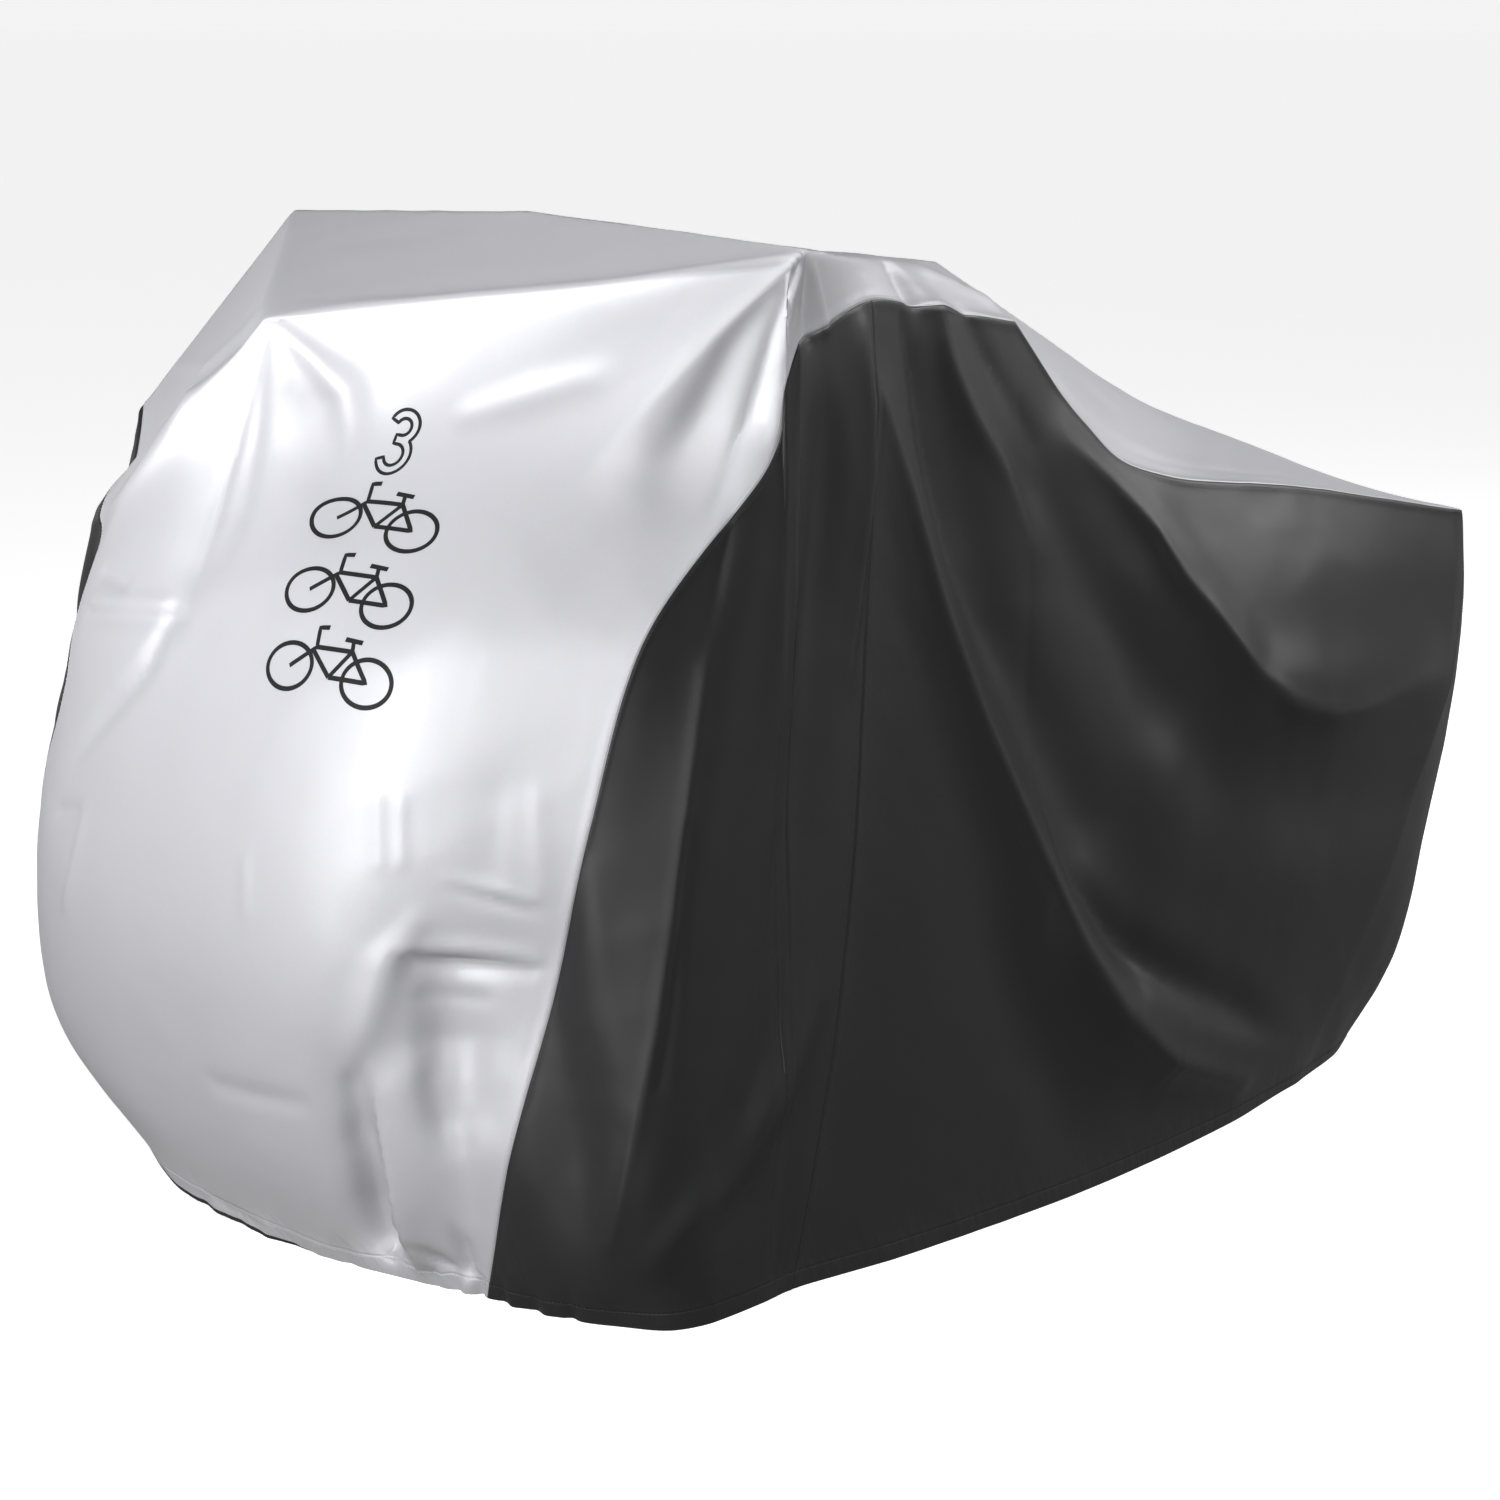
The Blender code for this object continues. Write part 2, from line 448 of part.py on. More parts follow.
def main():
    for obj in list(bpy.data.objects):
        bpy.data.objects.remove(obj, do_unlink=True)
    collection = bpy.data.collections.new("bicycle_cover")
    bpy.context.scene.collection.children.link(collection)

    sheet, normals, seam_row = draped_sheet()
    far = slice(0, SIDE_COLUMNS + 1)
    middle = slice(SIDE_COLUMNS, SIDE_COLUMNS + SILVER_COLUMNS + 1)
    near = slice(SIDE_COLUMNS + SILVER_COLUMNS, None)
    front, rear = slice(0, seam_row + 1), slice(seam_row, None)
    panels = (
        ("silver_panel", slice(None), middle, SILVER, ("first column", "last column")),
        ("near_front_panel", front, near, BLACK, ("first column", "last row")),
        ("near_rear_panel", rear, near, BLACK, ("first column", "first row")),
        ("far_front_panel", front, far, BLACK, ("last column", "last row")),
        ("far_rear_panel", rear, far, BLACK, ("last column", "first row")),
    )
    pieces = [
        cloth_panel(name, sheet[rows, places], normals[rows, places], look, collection, edges)
        for name, rows, places, look, edges in panels
    ]
    pieces.append(hem_tape(sheet, normals, collection))
    stand_on_origin(pieces)


main()
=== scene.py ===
"""The looks of a fitted bicycle cover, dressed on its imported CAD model.

The cover hangs as one sheet over handlebars and saddles: a silver centre panel between two black
sides, each side in two panels, with elastic in the hem. The sheet is worked out once, from a table of
sections and tables of folds, and is then parted into its panels, so that folds and shading run on
over every seam. The folds that the photo shows are placed by the places in the photo where they run.
Lengths are in metres, but in millimetres in the tables. -Y is the front and +Z is up.
"""

import sys

import logging
import math
from dataclasses import dataclass, replace
from enum import Enum

import bpy
import numpy as np
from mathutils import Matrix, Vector, noise
from mathutils.bvhtree import BVHTree


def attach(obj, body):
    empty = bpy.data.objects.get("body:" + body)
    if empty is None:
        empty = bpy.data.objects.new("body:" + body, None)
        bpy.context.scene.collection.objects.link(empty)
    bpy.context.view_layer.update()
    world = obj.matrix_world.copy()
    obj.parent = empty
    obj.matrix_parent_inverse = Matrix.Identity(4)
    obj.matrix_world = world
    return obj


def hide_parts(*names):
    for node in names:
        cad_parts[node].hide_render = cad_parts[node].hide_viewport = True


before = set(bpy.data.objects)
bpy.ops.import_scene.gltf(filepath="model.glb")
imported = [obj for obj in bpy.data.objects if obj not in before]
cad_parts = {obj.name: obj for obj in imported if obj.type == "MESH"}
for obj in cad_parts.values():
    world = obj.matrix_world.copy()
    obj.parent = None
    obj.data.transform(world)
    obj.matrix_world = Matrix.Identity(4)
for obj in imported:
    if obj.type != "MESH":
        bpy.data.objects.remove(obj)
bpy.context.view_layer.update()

log = logging.getLogger("bicycle_cover")
Array = np.ndarray
Place = tuple[float, float, float]
PhotoPlace = tuple[float, float]
Colour = tuple[float, float, float]
Socket = bpy.types.NodeSocket

MIDDLE = (0.0411, 0.0240, -0.0001)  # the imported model's origin, in the tables' frame but in metres
PANEL_SEAM_STATION = "behind the bars"
FINE_UNTIL_STATION = "rear roof"  # rows are closer together up to here, where the photo shows the sheet
SWELL_PLACES = (0.12, 0.40, 0.75)  # shares of the way from a side's seam down to its hem
SEAM_GAP = 0.0001  # between two panels' cut edges
CLOTH_THICKNESS = 0.0010
ONE_POINT = 0.002  # an end row whose points lie within this of each other is closed to one point
GROUND_FADE = 0.05  # how much height above the ground gives a fold back its whole depth
GROUND_SHARE = 0.3  # what a fold keeps of its depth on the ground
BASE_SMOOTHINGS = 12  # how many times the depths of FOLDS are evened out
SEEN_SMOOTHINGS = 1  # and those of SEEN_FOLDS
FOLD_REACH = 3.2  # in fold widths, beyond which a fold moves nothing
CREASE_ROUNDING = 0.30  # in fold widths
CREASE_FALL = 1.7  # how fast a crease falls away, for each fold width
ROLL_PEAK = 2.33  # makes a roll as high as its depth
GATHER_PLACES = (0.25, 0.75)  # where a gather may stand in its share of the run
GATHER_HEIGHTS = (0.6, 1.3)  # shares of the run's height
GATHER_LEANS = (-0.35, 0.35)  # shares of the gather's height
GATHER_DEPTHS = (0.6, 1.2)  # shares of the run's depth
ALLOWANCE = (0.0007, 0.0055, 0.0036)  # a seam allowance's lift, its middle from the seam and its half width
CASING = (0.0006, 0.0012)  # the hem casing's lift and how softly it ends
STITCH_LIFT = 0.00015  # the stitches' middles above the cloth
STITCH_LINE = 0.019  # the hem's stitches lie this far from its edge


class Profile(Enum):
    """How the cloth stands across a fold."""

    SOFT = "a round ridge or trough"
    CREASE = "a ridge or trough with a crisp line at its middle"
    ROLL = "up on one hand and down on the other"


@dataclass(frozen=True)
class Station:
    """A section across the cover, from the far hem to the near hem, in millimetres.

    The belly is how far the silver's middle stands out from the line between its shoulders. A swell
    is how far a side stands out from the line between its seam and its hem, at the SWELL_PLACES. The
    sweep is how far the middle of a side is drawn to the rear. Taut is 1 where the silver runs
    straight from shoulder to shoulder. At a corner the sheet is bent sharply over what holds it up.
    The slide is how far the far seam then moves over the cloth, toward the silver's middle.
    """

    name: str
    far_hem: Place
    far_seam: Place
    far_shoulder: Place
    near_shoulder: Place
    near_seam: Place
    near_hem: Place
    belly: float
    far_swell: Place
    near_swell: Place
    sweep: float
    taut: float
    corner: bool
    slide: float = 0


@dataclass(frozen=True)
class Fold:
    """A fold along a route, with its width and depth at each of the route's points.

    The tables give it in millimetres, but a SEEN_FOLDS route in places of the photo. Laid on the
    sheet, it is in metres. A depth above 0 lifts the cloth and one below 0 presses it in. A roll of
    depth above 0 lifts the cloth on the right of a route that runs down, seen from outside, and
    above one that runs to the right. A lean above 0 widens the fold on that hand and narrows it on
    the other.
    """

    name: str
    route: tuple | Array
    widths: tuple | Array
    depths: tuple | Array
    profile: Profile = Profile.SOFT
    lean: float = 0.0


@dataclass(frozen=True)
class GatherRun:
    """A row of short upright folds where the elastic draws in a stretch of the hem, in millimetres."""

    name: str
    start: Place
    end: Place
    count: int
    height: float
    width: float
    depth: float
    seed: int


STATIONS = (
    Station("front hem", (-340, -715, 20), (-340, -715, 20), (-130, -822, 18), (163, -832, 0),
         (355, -800, 0), (355, -800, 0), 10, (0, 0, 0), (0, 0, 0), 0, 0.3, False),
    Station("front low", (-418, -610, 10), (-450, -695, 160), (-360, -800, 150), (190, -875, 130),
         (395, -805, 160), (455, -788, 0), 30, (0, 5, 8), (4, 8, 8), 0, 0.1, False, 10),
    Station("front wheels", (-452, -530, 5), (-438, -757, 367), (-360, -830, 360), (210, -895, 320),
         (420, -760, 335), (515, -765, 0), 30, (10, 20, 30), (6, 14, 18), 0, 0.1, False, 34),
    Station("front middle", (-466, -475, 0), (-388, -762, 555), (-340, -800, 560), (240, -860, 500),
         (450, -737, 510), (563, -736, 0), 30, (46, 55, 52), (8, 18, 24), 0, 0.1, False, 76),
    Station("front high", (-475, -430, 0), (-402, -702, 654), (-310, -775, 700), (280, -790, 670),
         (455, -667, 687), (579, -690, 0), 20, (62, 72, 58), (8, 22, 26), 0, 0.2, False, 84),
    Station("under the bars", (-482, -390, 0), (-408, -693, 744), (-220, -735, 860), (340, -610, 870),
         (470, -490, 857), (580, -648, 0), 0, (58, 76, 58), (4, 18, 22), 5, 0.5, False, 36),
    Station("front ridge", (-488, -350, 0), (-420, -629, 796), (-110, -680, 994), (475, -458, 1068),
         (470, -458, 950), (580, -616, 0), 0, (48, 70, 57), (0, 8, 14), 15, 1.0, True, 20),
    Station("bar crest", (-492, -315, 0), (-465, -575, 857), (-378, -398, 1092), (485, -445, 1084),
         (468, -435, 985), (579, -603, 0), 18, (30, 55, 50), (0, 4, 10), 22, 1.0, True, 8),
    Station("behind the bars", (-498, -255, 0), (-440, -270, 985), (-345, -225, 1047), (400, -270, 1064),
         (420, -263, 1017), (577, -567, 0), -15, (15, 30, 40), (0, 0, 8), 40, 0.8, False),
    Station("before the saddles", (-500, -190, 0), (-400, -110, 985), (-300, -100, 1020), (320, -100, 1050),
         (385, -115, 998), (600, -420, 0), -20, (10, 25, 40), (4, 10, 18), 34, 0.6, False),
    Station("saddles", (-500, -100, 0), (-380, 70, 955), (-240, 60, 1015), (250, 61, 1035), (360, 74, 969),
         (615, -250, 0), -20, (12, 30, 40), (8, 20, 28), 18, 0.7, True),
    Station("behind the saddles", (-500, -10, 0), (-400, 160, 850), (-220, 250, 930), (240, 220, 965),
         (395, 160, 849), (620, -120, 0), -10, (18, 35, 40), (14, 28, 30), 10, 0.5, False),
    Station("dip", (-500, 80, 0), (-430, 300, 770), (-200, 550, 800), (210, 555, 823), (430, 300, 769),
         (618, 20, 0), -5, (30, 55, 40), (26, 52, 32), 0, 0.4, False),
    Station("rear roof", (-490, 240, 0), (-455, 620, 720), (-220, 800, 735), (230, 800, 742),
         (458, 616, 724), (605, 200, 0), 0, (40, 65, 40), (40, 70, 34), 0, 0.4, False),
    Station("rear edge", (-470, 420, 0), (-470, 890, 670), (-250, 930, 680), (250, 930, 690),
         (480, 915, 668), (575, 400, 0), 0, (30, 50, 40), (30, 52, 34), 0, 0.4, True),
    Station("rear high", (-455, 500, 0), (-465, 910, 550), (-250, 945, 520), (250, 950, 520),
         (475, 938, 540), (552, 510, 0), 10, (15, 30, 36), (16, 32, 34), 0, 0.2, False),
    Station("rear wheels", (-430, 580, 0), (-440, 850, 300), (-220, 900, 280), (220, 900, 280),
         (462, 878, 290), (510, 600, 0), 10, (8, 18, 26), (8, 20, 28), 0, 0.1, False),
    Station("rear low", (-390, 650, 0), (-400, 770, 120), (-200, 810, 120), (200, 810, 120),
         (420, 790, 120), (430, 655, 0), 10, (3, 8, 10), (3, 10, 12), 0, 0.1, False),
    Station("rear hem", (-340, 680, 0), (-340, 680, 0), (-150, 700, 0), (150, 700, 0), (340, 680, 0),
         (340, 680, 0), 10, (0, 0, 0), (0, 0, 0), 0, 0.2, False),
)

FOLDS = (
    # Near side, front panel
    Fold("near corner ridge", ((471, -500, 847), (531, -690, 441), (560, -781, 204), (503, -782, 41)),
         (32, 40, 45, 35), (8, 14, 18, 8)),
    Fold("bar end hollow", ((462, -400, 880), (468, -430, 709), (510, -500, 500), (570, -650, 150)),
         (36, 45, 52, 60), (-10, -20, -26, -18)),
    Fold("seam ridge", ((434, -305, 972), (446, -340, 760)), (32, 36), (10, 4)),
    # Near side, rear panel: long pulls from behind the bars and from the saddles
    Fold("long pull", ((434, -258, 909), (466, -196, 679), (542, -127, 429), (585, -85, 265),
         (595, -10, 190), (565, 400, 30)), (30, 36, 45, 50, 50, 34), (10, 16, 24, 22, 18, 6)),
    Fold("behind the long pull", ((425, -150, 930), (470, -95, 640), (545, -20, 420)), (34, 45, 60),
         (-12, -18, -14)),
    Fold("second pull", ((383, -98, 993), (411, -59, 852), (440, -1, 720)), (30, 34, 36), (10, 10, 4)),
    Fold("under the long pull", ((580, -190, 300), (590, -120, 110)), (50, 60), (-8, -12)),
    Fold("saddle hollow", ((430, 40, 790), (520, 160, 520)), (40, 65), (-8, -16)),
    Fold("rear shoulder", ((406, 123, 826), (451, 236, 728), (506, 274, 634), (568, 315, 525),
         (585, 480, 490), (559, 714, 486)), (32, 40, 50, 55, 55, 50), (8, 12, 16, 18, 14, 12)),
    Fold("rear side hollow", ((550, 230, 420), (575, 420, 360), (550, 640, 350)), (60, 65, 65),
         (-14, -14, -8)),
    # Silver front
    Fold("peak pull", ((-120, -660, 970), (-10, -672, 920), (50, -700, 800)), (30, 36, 45), (-6, -10, -8)),
    Fold("peak fall", ((-150, -690, 950), (-105, -780, 730)), (30, 36), (-5, -8)),
    Fold("bar end pull", ((455, -450, 1020), (405, -560, 820)), (30, 34), (-6, -8)),
    Fold("front crease hollow", ((232, -865, 230), (226, -838, 50)), (36, 34), (-14, -16)),
    Fold("front crease ridge", ((285, -855, 230), (285, -828, 50)), (32, 30), (10, 10)),
    Fold("low front hollow", ((322, -820, 340), (345, -814, 220)), (40, 36), (-14, -10)),
    Fold("knee crease", ((395, -780, 367), (303, -838, 371)), (28, 30), (-4, -6)),
    # Far side
    Fold("far corner ridge", ((-450, -600, 760), (-480, -640, 260)), (32, 45), (4, 12)),
    Fold("far front hollow", ((-480, -420, 780), (-545, -420, 280)), (45, 65), (-10, -20)),
    Fold("far long pull", ((-430, -180, 880), (-520, -80, 430), (-560, 60, 220)), (32, 45, 50),
         (10, 20, 18)),
    Fold("behind the far pull", ((-440, -60, 800), (-540, 80, 420)), (40, 60), (-10, -18)),
    Fold("far shoulder", ((-420, 160, 800), (-500, 300, 620), (-550, 520, 490)), (34, 50, 55), (8, 16, 12)),
    Fold("far side hollow", ((-530, 260, 440), (-550, 560, 350)), (60, 65), (-14, -12)),
    # Rear
    Fold("rear pull near", ((280, 940, 640), (240, 810, 100)), (34, 45), (4, 16)),
    Fold("rear hollow", ((20, 950, 600), (40, 830, 120)), (50, 70), (-6, -22)),
    Fold("rear pull far", ((-240, 940, 640), (-200, 810, 100)), (34, 45), (4, 14)),
    Fold("rear corner pull near", ((455, 920, 650), (360, 945, 530), (270, 920, 350)), (20, 26, 36),
         (6, 10, 3)),
    Fold("under the near corner pull", ((440, 925, 560), (340, 930, 420)), (26, 34), (-8, -6)),
    Fold("rear corner pull far", ((-450, 900, 650), (-350, 940, 510), (-280, 910, 320)), (20, 26, 36),
         (6, 10, 3)),
    Fold("under the far corner pull", ((-430, 905, 550), (-340, 925, 400)), (26, 34), (-8, -6)),
)

# Folds that the photo shows. Routes run down the cloth, or to the right, in places of the photo, which
# is 1500 wide and high.
SEEN_FOLDS = (
    # Silver front, from the far bar end
    Fold("peak valley", ((264, 322), (240, 430), (215, 515), (195, 580), (170, 660)), (6, 9, 11, 13, 16),
         (-3, -6, -6, -4, 0), Profile.CREASE),
    Fold("peak second valley", ((266, 330), (256, 430), (240, 510), (220, 575)), (8, 13, 17, 20),
         (-2, -6, -6, 0)),
    Fold("peak pull", ((270, 322), (310, 359), (340, 392), (350, 428), (352, 470)), (6, 13, 20, 24, 26),
         (-3, -7, -9, -7, 0), Profile.SOFT, 0.3),
    Fold("peak left ridge", ((258, 318), (205, 370), (170, 435), (119, 502), (90, 530)),
         (12, 16, 18, 18, 14), (3, 5, 6, 5, 2), Profile.CREASE),
    Fold("peak tuck", ((178, 364), (208, 366)), (5, 5), (2, 2)),
    Fold("left dimple", ((106, 574), (124, 584)), (9, 9), (-4, -4)),
    Fold("left shelf", ((95, 608), (177, 612)), (13, 13), (2.5, 2.5), Profile.ROLL),
    Fold("left diagonal", ((175, 610), (145, 670), (102, 721), (77, 757)), (12, 15, 15, 12),
         (-4, -6, -5, -2)),
    Fold("left low dimple", ((60, 812), (76, 810)), (9, 9), (-4, -4)),
    Fold("roof edge", ((300, 309), (361, 306), (460, 299), (560, 292), (690, 272), (795, 254)),
         (10, 12, 12, 12, 12, 8), (2, 5, 5, 5, 4, 2), Profile.CREASE),
    Fold("brow smudge", ((470, 415), (530, 395), (590, 378)), (16, 20, 18), (-3, -5, -3)),
    # Silver front, from the near bar end
    Fold("bar end valley", ((800, 265), (775, 330), (750, 415), (720, 495), (708, 535)), (6, 9, 10, 11, 12),
         (-3, -7, -8, -6, 0), Profile.CREASE),
    Fold("bar end strip", ((800, 262), (787, 330), (772, 428), (705, 546), (667, 602)), (7, 9, 11, 12, 12),
         (1, 3, 4, 3, 0)),
    Fold("bar end soft valley", ((793, 270), (735, 345), (700, 415), (640, 500)), (10, 18, 22, 30),
         (-2, -9, -10, 0)),
    Fold("apex wedge", ((806, 262), (808, 300), (808, 337)), (4, 8, 13), (-1, -4, -6)),
    Fold("apex edge", ((812, 264), (825, 330)), (5, 7), (3, 5), Profile.CREASE),
    # Silver roof behind the near bar end
    Fold("roof hollow", ((893, 268), (906, 295)), (18, 18), (-10, -10)),
    Fold("roof facet", ((925, 272), (985, 300)), (20, 20), (5, 5)),
    Fold("roof dimple", ((953, 280), (958, 285)), (6, 6), (-3, -3)),
    Fold("roof line", ((812, 253), (940, 262), (1000, 298), (1070, 352), (1120, 395)), (6, 6, 6, 6, 6),
         (-1, -3, -3, -3, -2), Profile.CREASE),
    # Near front panel
    Fold("bar end dark hollow", ((822, 368), (828, 430), (824, 500), (810, 590), (790, 700)),
         (16, 20, 24, 26, 26), (-1, -4, -6, -5, 0)),
    Fold("front of panel seam", ((864, 326), (868, 400), (866, 480), (859, 570), (848, 680)),
         (12, 15, 17, 18, 20), (6, 12, 13, 9, 2), Profile.CREASE, -0.4),
    Fold("edge shadow", ((736, 490), (722, 560), (705, 655)), (6, 6, 6), (-2, -4, -1), Profile.CREASE),
    Fold("corner line", ((716, 600), (704, 685), (688, 794), (672, 924), (657, 1028), (636, 1132),
         (612, 1245)), (8, 9, 9, 10, 10, 10, 8), (0, 4, 5, 5, 5, 5, 3), Profile.CREASE),
    Fold("corner line shadow", ((690, 830), (675, 976), (659, 1085)), (7, 8, 8), (-2, -4, -2)),
    Fold("front low roll", ((815, 1000), (770, 1100), (720, 1180), (655, 1262)), (24, 28, 28, 20),
         (3, 15, 15, 6)),
    # Near rear panel
    Fold("long pull line", ((884, 400), (910, 490), (945, 615), (980, 715), (1010, 785), (1042, 865),
         (1075, 945), (1115, 1015), (1165, 1062), (1240, 1082)), (7, 9, 10, 12, 14, 18, 24, 30, 32, 26),
         (3, 6, 7, 8, 9, 11, 16, 22, 22, 9), Profile.CREASE, 0.2),
    Fold("long pull valley", ((1030, 775), (1075, 885), (1118, 940), (1170, 976), (1240, 1010),
         (1290, 1040)), (12, 20, 26, 28, 28, 20), (-1, -8, -14, -15, -10, -2)),
    Fold("behind the long pull line", ((905, 330), (922, 440), (950, 560), (985, 660)), (14, 20, 22, 24),
         (-5, -9, -8, -2)),
    Fold("second pull line", ((942, 313), (950, 365), (970, 415), (1005, 475), (1032, 545)),
         (11, 13, 15, 19, 24), (3, 9, 10, 8, 3), Profile.CREASE),
    Fold("third hollow", ((965, 315), (985, 360), (1030, 440)), (14, 18, 22), (-3, -6, -3)),
    Fold("shoulder edge", ((1068, 442), (1105, 475), (1155, 530), (1185, 580), (1220, 620), (1260, 675),
         (1295, 705), (1335, 714), (1380, 704), (1425, 676)), (10, 12, 13, 14, 15, 16, 17, 18, 18, 16),
         (1, 5, 7, 8, 8, 8, 8, 8, 6, 2), Profile.CREASE),
    # Silver front, low down
    Fold("sharp fold", ((372, 1066), (385, 1131), (402, 1203), (412, 1245)), (7, 11, 14, 14),
         (4, 14, 19, 16), Profile.CREASE, 0.6),
    Fold("left of the sharp fold", ((352, 1080), (362, 1140), (378, 1205), (392, 1248)), (10, 16, 18, 15),
         (-5, -19, -24, -18)),
    Fold("right of the sharp fold", ((430, 1085), (455, 1150), (470, 1210)), (16, 22, 16), (-4, -9, -3)),
    Fold("hem slit one", ((408, 1238), (430, 1255), (452, 1269)), (6, 7, 7), (-4, -12, -12),
         Profile.CREASE),
    Fold("hem slit two", ((452, 1226), (463, 1248), (470, 1272)), (6, 8, 8), (-3, -13, -15),
         Profile.CREASE),
    Fold("middle hollow", ((445, 985), (450, 1040), (455, 1110)), (28, 40, 32), (-6, -18, -8)),
    Fold("knee crease", ((450, 884), (500, 897), (530, 906)), (6, 8, 7), (1, 4, 2), Profile.ROLL),
    Fold("knee band", ((415, 953), (465, 956), (525, 962)), (12, 14, 11), (4, 8, 3), Profile.ROLL),
    Fold("under the knee", ((425, 995), (482, 1000)), (8, 8), (-3, -3)),
    Fold("knee ridge", ((415, 925), (385, 965), (365, 1030), (345, 1070)), (14, 18, 20, 18), (4, 9, 9, 3)),
    Fold("low smudges", ((215, 1084), (255, 1096), (300, 1104)), (12, 12, 12), (-3, -4, -3)),
    Fold("streak left", ((245, 862), (246, 912)), (6, 6), (2, 2)),
    Fold("streak one", ((378, 798), (380, 866)), (5, 5), (2, 2)),
    Fold("streak two", ((401, 802), (403, 864)), (5, 5), (2, 2)),
    Fold("streak hollow", ((495, 798), (490, 868)), (18, 20), (-2, -2)),
    Fold("streak right", ((540, 795), (542, 890)), (10, 12), (2, 2)),
    Fold("far edge streak", ((84, 818), (66, 905)), (6, 6), (3, 3)),
    Fold("hem crease", ((213, 1197), (238, 1212), (262, 1226)), (6, 6, 6), (-4, -4, -3), Profile.CREASE),
)

GATHER_RUNS = (
    GatherRun("front near gathers", (205, -845, 0), (350, -803, 0), 11, 26, 5.6, 8, 3),
    GatherRun("front gathers", (-100, -828, 18), (190, -836, 0), 7, 40, 10, 3, 5),
    GatherRun("near corner gathers", (365, -800, 0), (470, -786, 0), 5, 50, 8, 4, 7),
    GatherRun("rear gathers", (-300, 690, 0), (300, 690, 0), 19, 60, 9, 6, 11),
    GatherRun("rear near corner gathers", (350, 678, 0), (500, 610, 0), 6, 55, 9, 5, 13),
    GatherRun("rear far corner gathers", (-480, 600, 0), (-350, 678, 0), 6, 55, 9, 5, 17),
)


def measures(field_name: str) -> Array:
    """One measure of every station, in metres."""
    return np.array([getattr(station, field_name) for station in STATIONS], float) / 1000


def unit(vectors: Array) -> Array:
    """The vectors at length 1, leaving any of no length as they are."""
    lengths = np.linalg.norm(vectors, axis=-1, keepdims=True)
    return vectors / np.where(lengths > 1e-9, lengths, 1.0)


def distances(line: Array) -> Array:
    """How far along a line each of its points lies."""
    return np.concatenate([[0.0], np.cumsum(np.linalg.norm(np.diff(line, axis=0), axis=1))])


def places_on(line: Array, at: Array, stops: Array) -> Array:
    """The places at some stops on a line whose points lie at known distances."""
    return np.stack([np.interp(stops, at, axis) for axis in line.T], axis=1)


def numbered(grid: Array) -> Array:
    """A number for each point of a grid, row by row."""
    return np.arange(grid.shape[0] * grid.shape[1]).reshape(grid.shape[:2])


def grid_faces(index: Array) -> list[list[int]]:
    """The faces of a grid whose points have these numbers."""
    corners = (index[:-1, :-1], index[:-1, 1:], index[1:, 1:], index[1:, :-1])
    return np.stack(corners, axis=-1).reshape(-1, 4).tolist()


def face_tree(grid: Array) -> BVHTree:
    """A search tree of a grid's faces."""
    return BVHTree.FromPolygons(grid.reshape(-1, 3).tolist(), grid_faces(numbered(grid)))


def smooth_between(
    values: Array, knots: Array, at: Array, corners: frozenset[int] = frozenset(), doubles_back: bool = True
) -> Array:
    """Values between table rows: a cubic through each, with a sharp bend at a corner row.

    Args:
        values: a row for each knot.
        knots: where the rows lie.
        at: where values are wanted.
        corners: which rows are corners.
        doubles_back: false keeps every slope within twice the gentler slope of its two sides.

    Returns:
        A row for each place in at.
    """
    steps = np.diff(knots)
    shape = (-1,) + (1,) * (values.ndim - 1)
    slopes = np.diff(values, axis=0) / steps.reshape(shape)
    into = np.empty_like(values)
    out_of = np.empty_like(values)
    for row in range(len(values)):
        before = max(row - 1, 0)
        after = min(row, len(slopes) - 1)
        share = steps[before] / (steps[before] + steps[after])
        through = slopes[before] * (1 - share) + slopes[after] * share
        if not doubles_back:
            gentler = np.minimum(abs(slopes[before]), abs(slopes[after]))
            gentler = np.where(slopes[before] * slopes[after] > 0, gentler, 0.0)
            through = np.clip(through, -2 * gentler, 2 * gentler)
        into[row] = slopes[before] if row in corners else through
        out_of[row] = slopes[after] if row in corners else through
    span = np.clip(np.searchsorted(knots, at, side="right") - 1, 0, len(steps) - 1)
    width = steps[span].reshape(shape)
    t = ((at - knots[span]) / steps[span]).reshape(shape)
    return (
        values[span] * (2 * t**3 - 3 * t**2 + 1)
        + values[span + 1] * (3 * t**2 - 2 * t**3)
        + out_of[span] * width * (t**3 - 2 * t**2 + t)
        + into[span + 1] * width * (t**3 - t**2)
    )


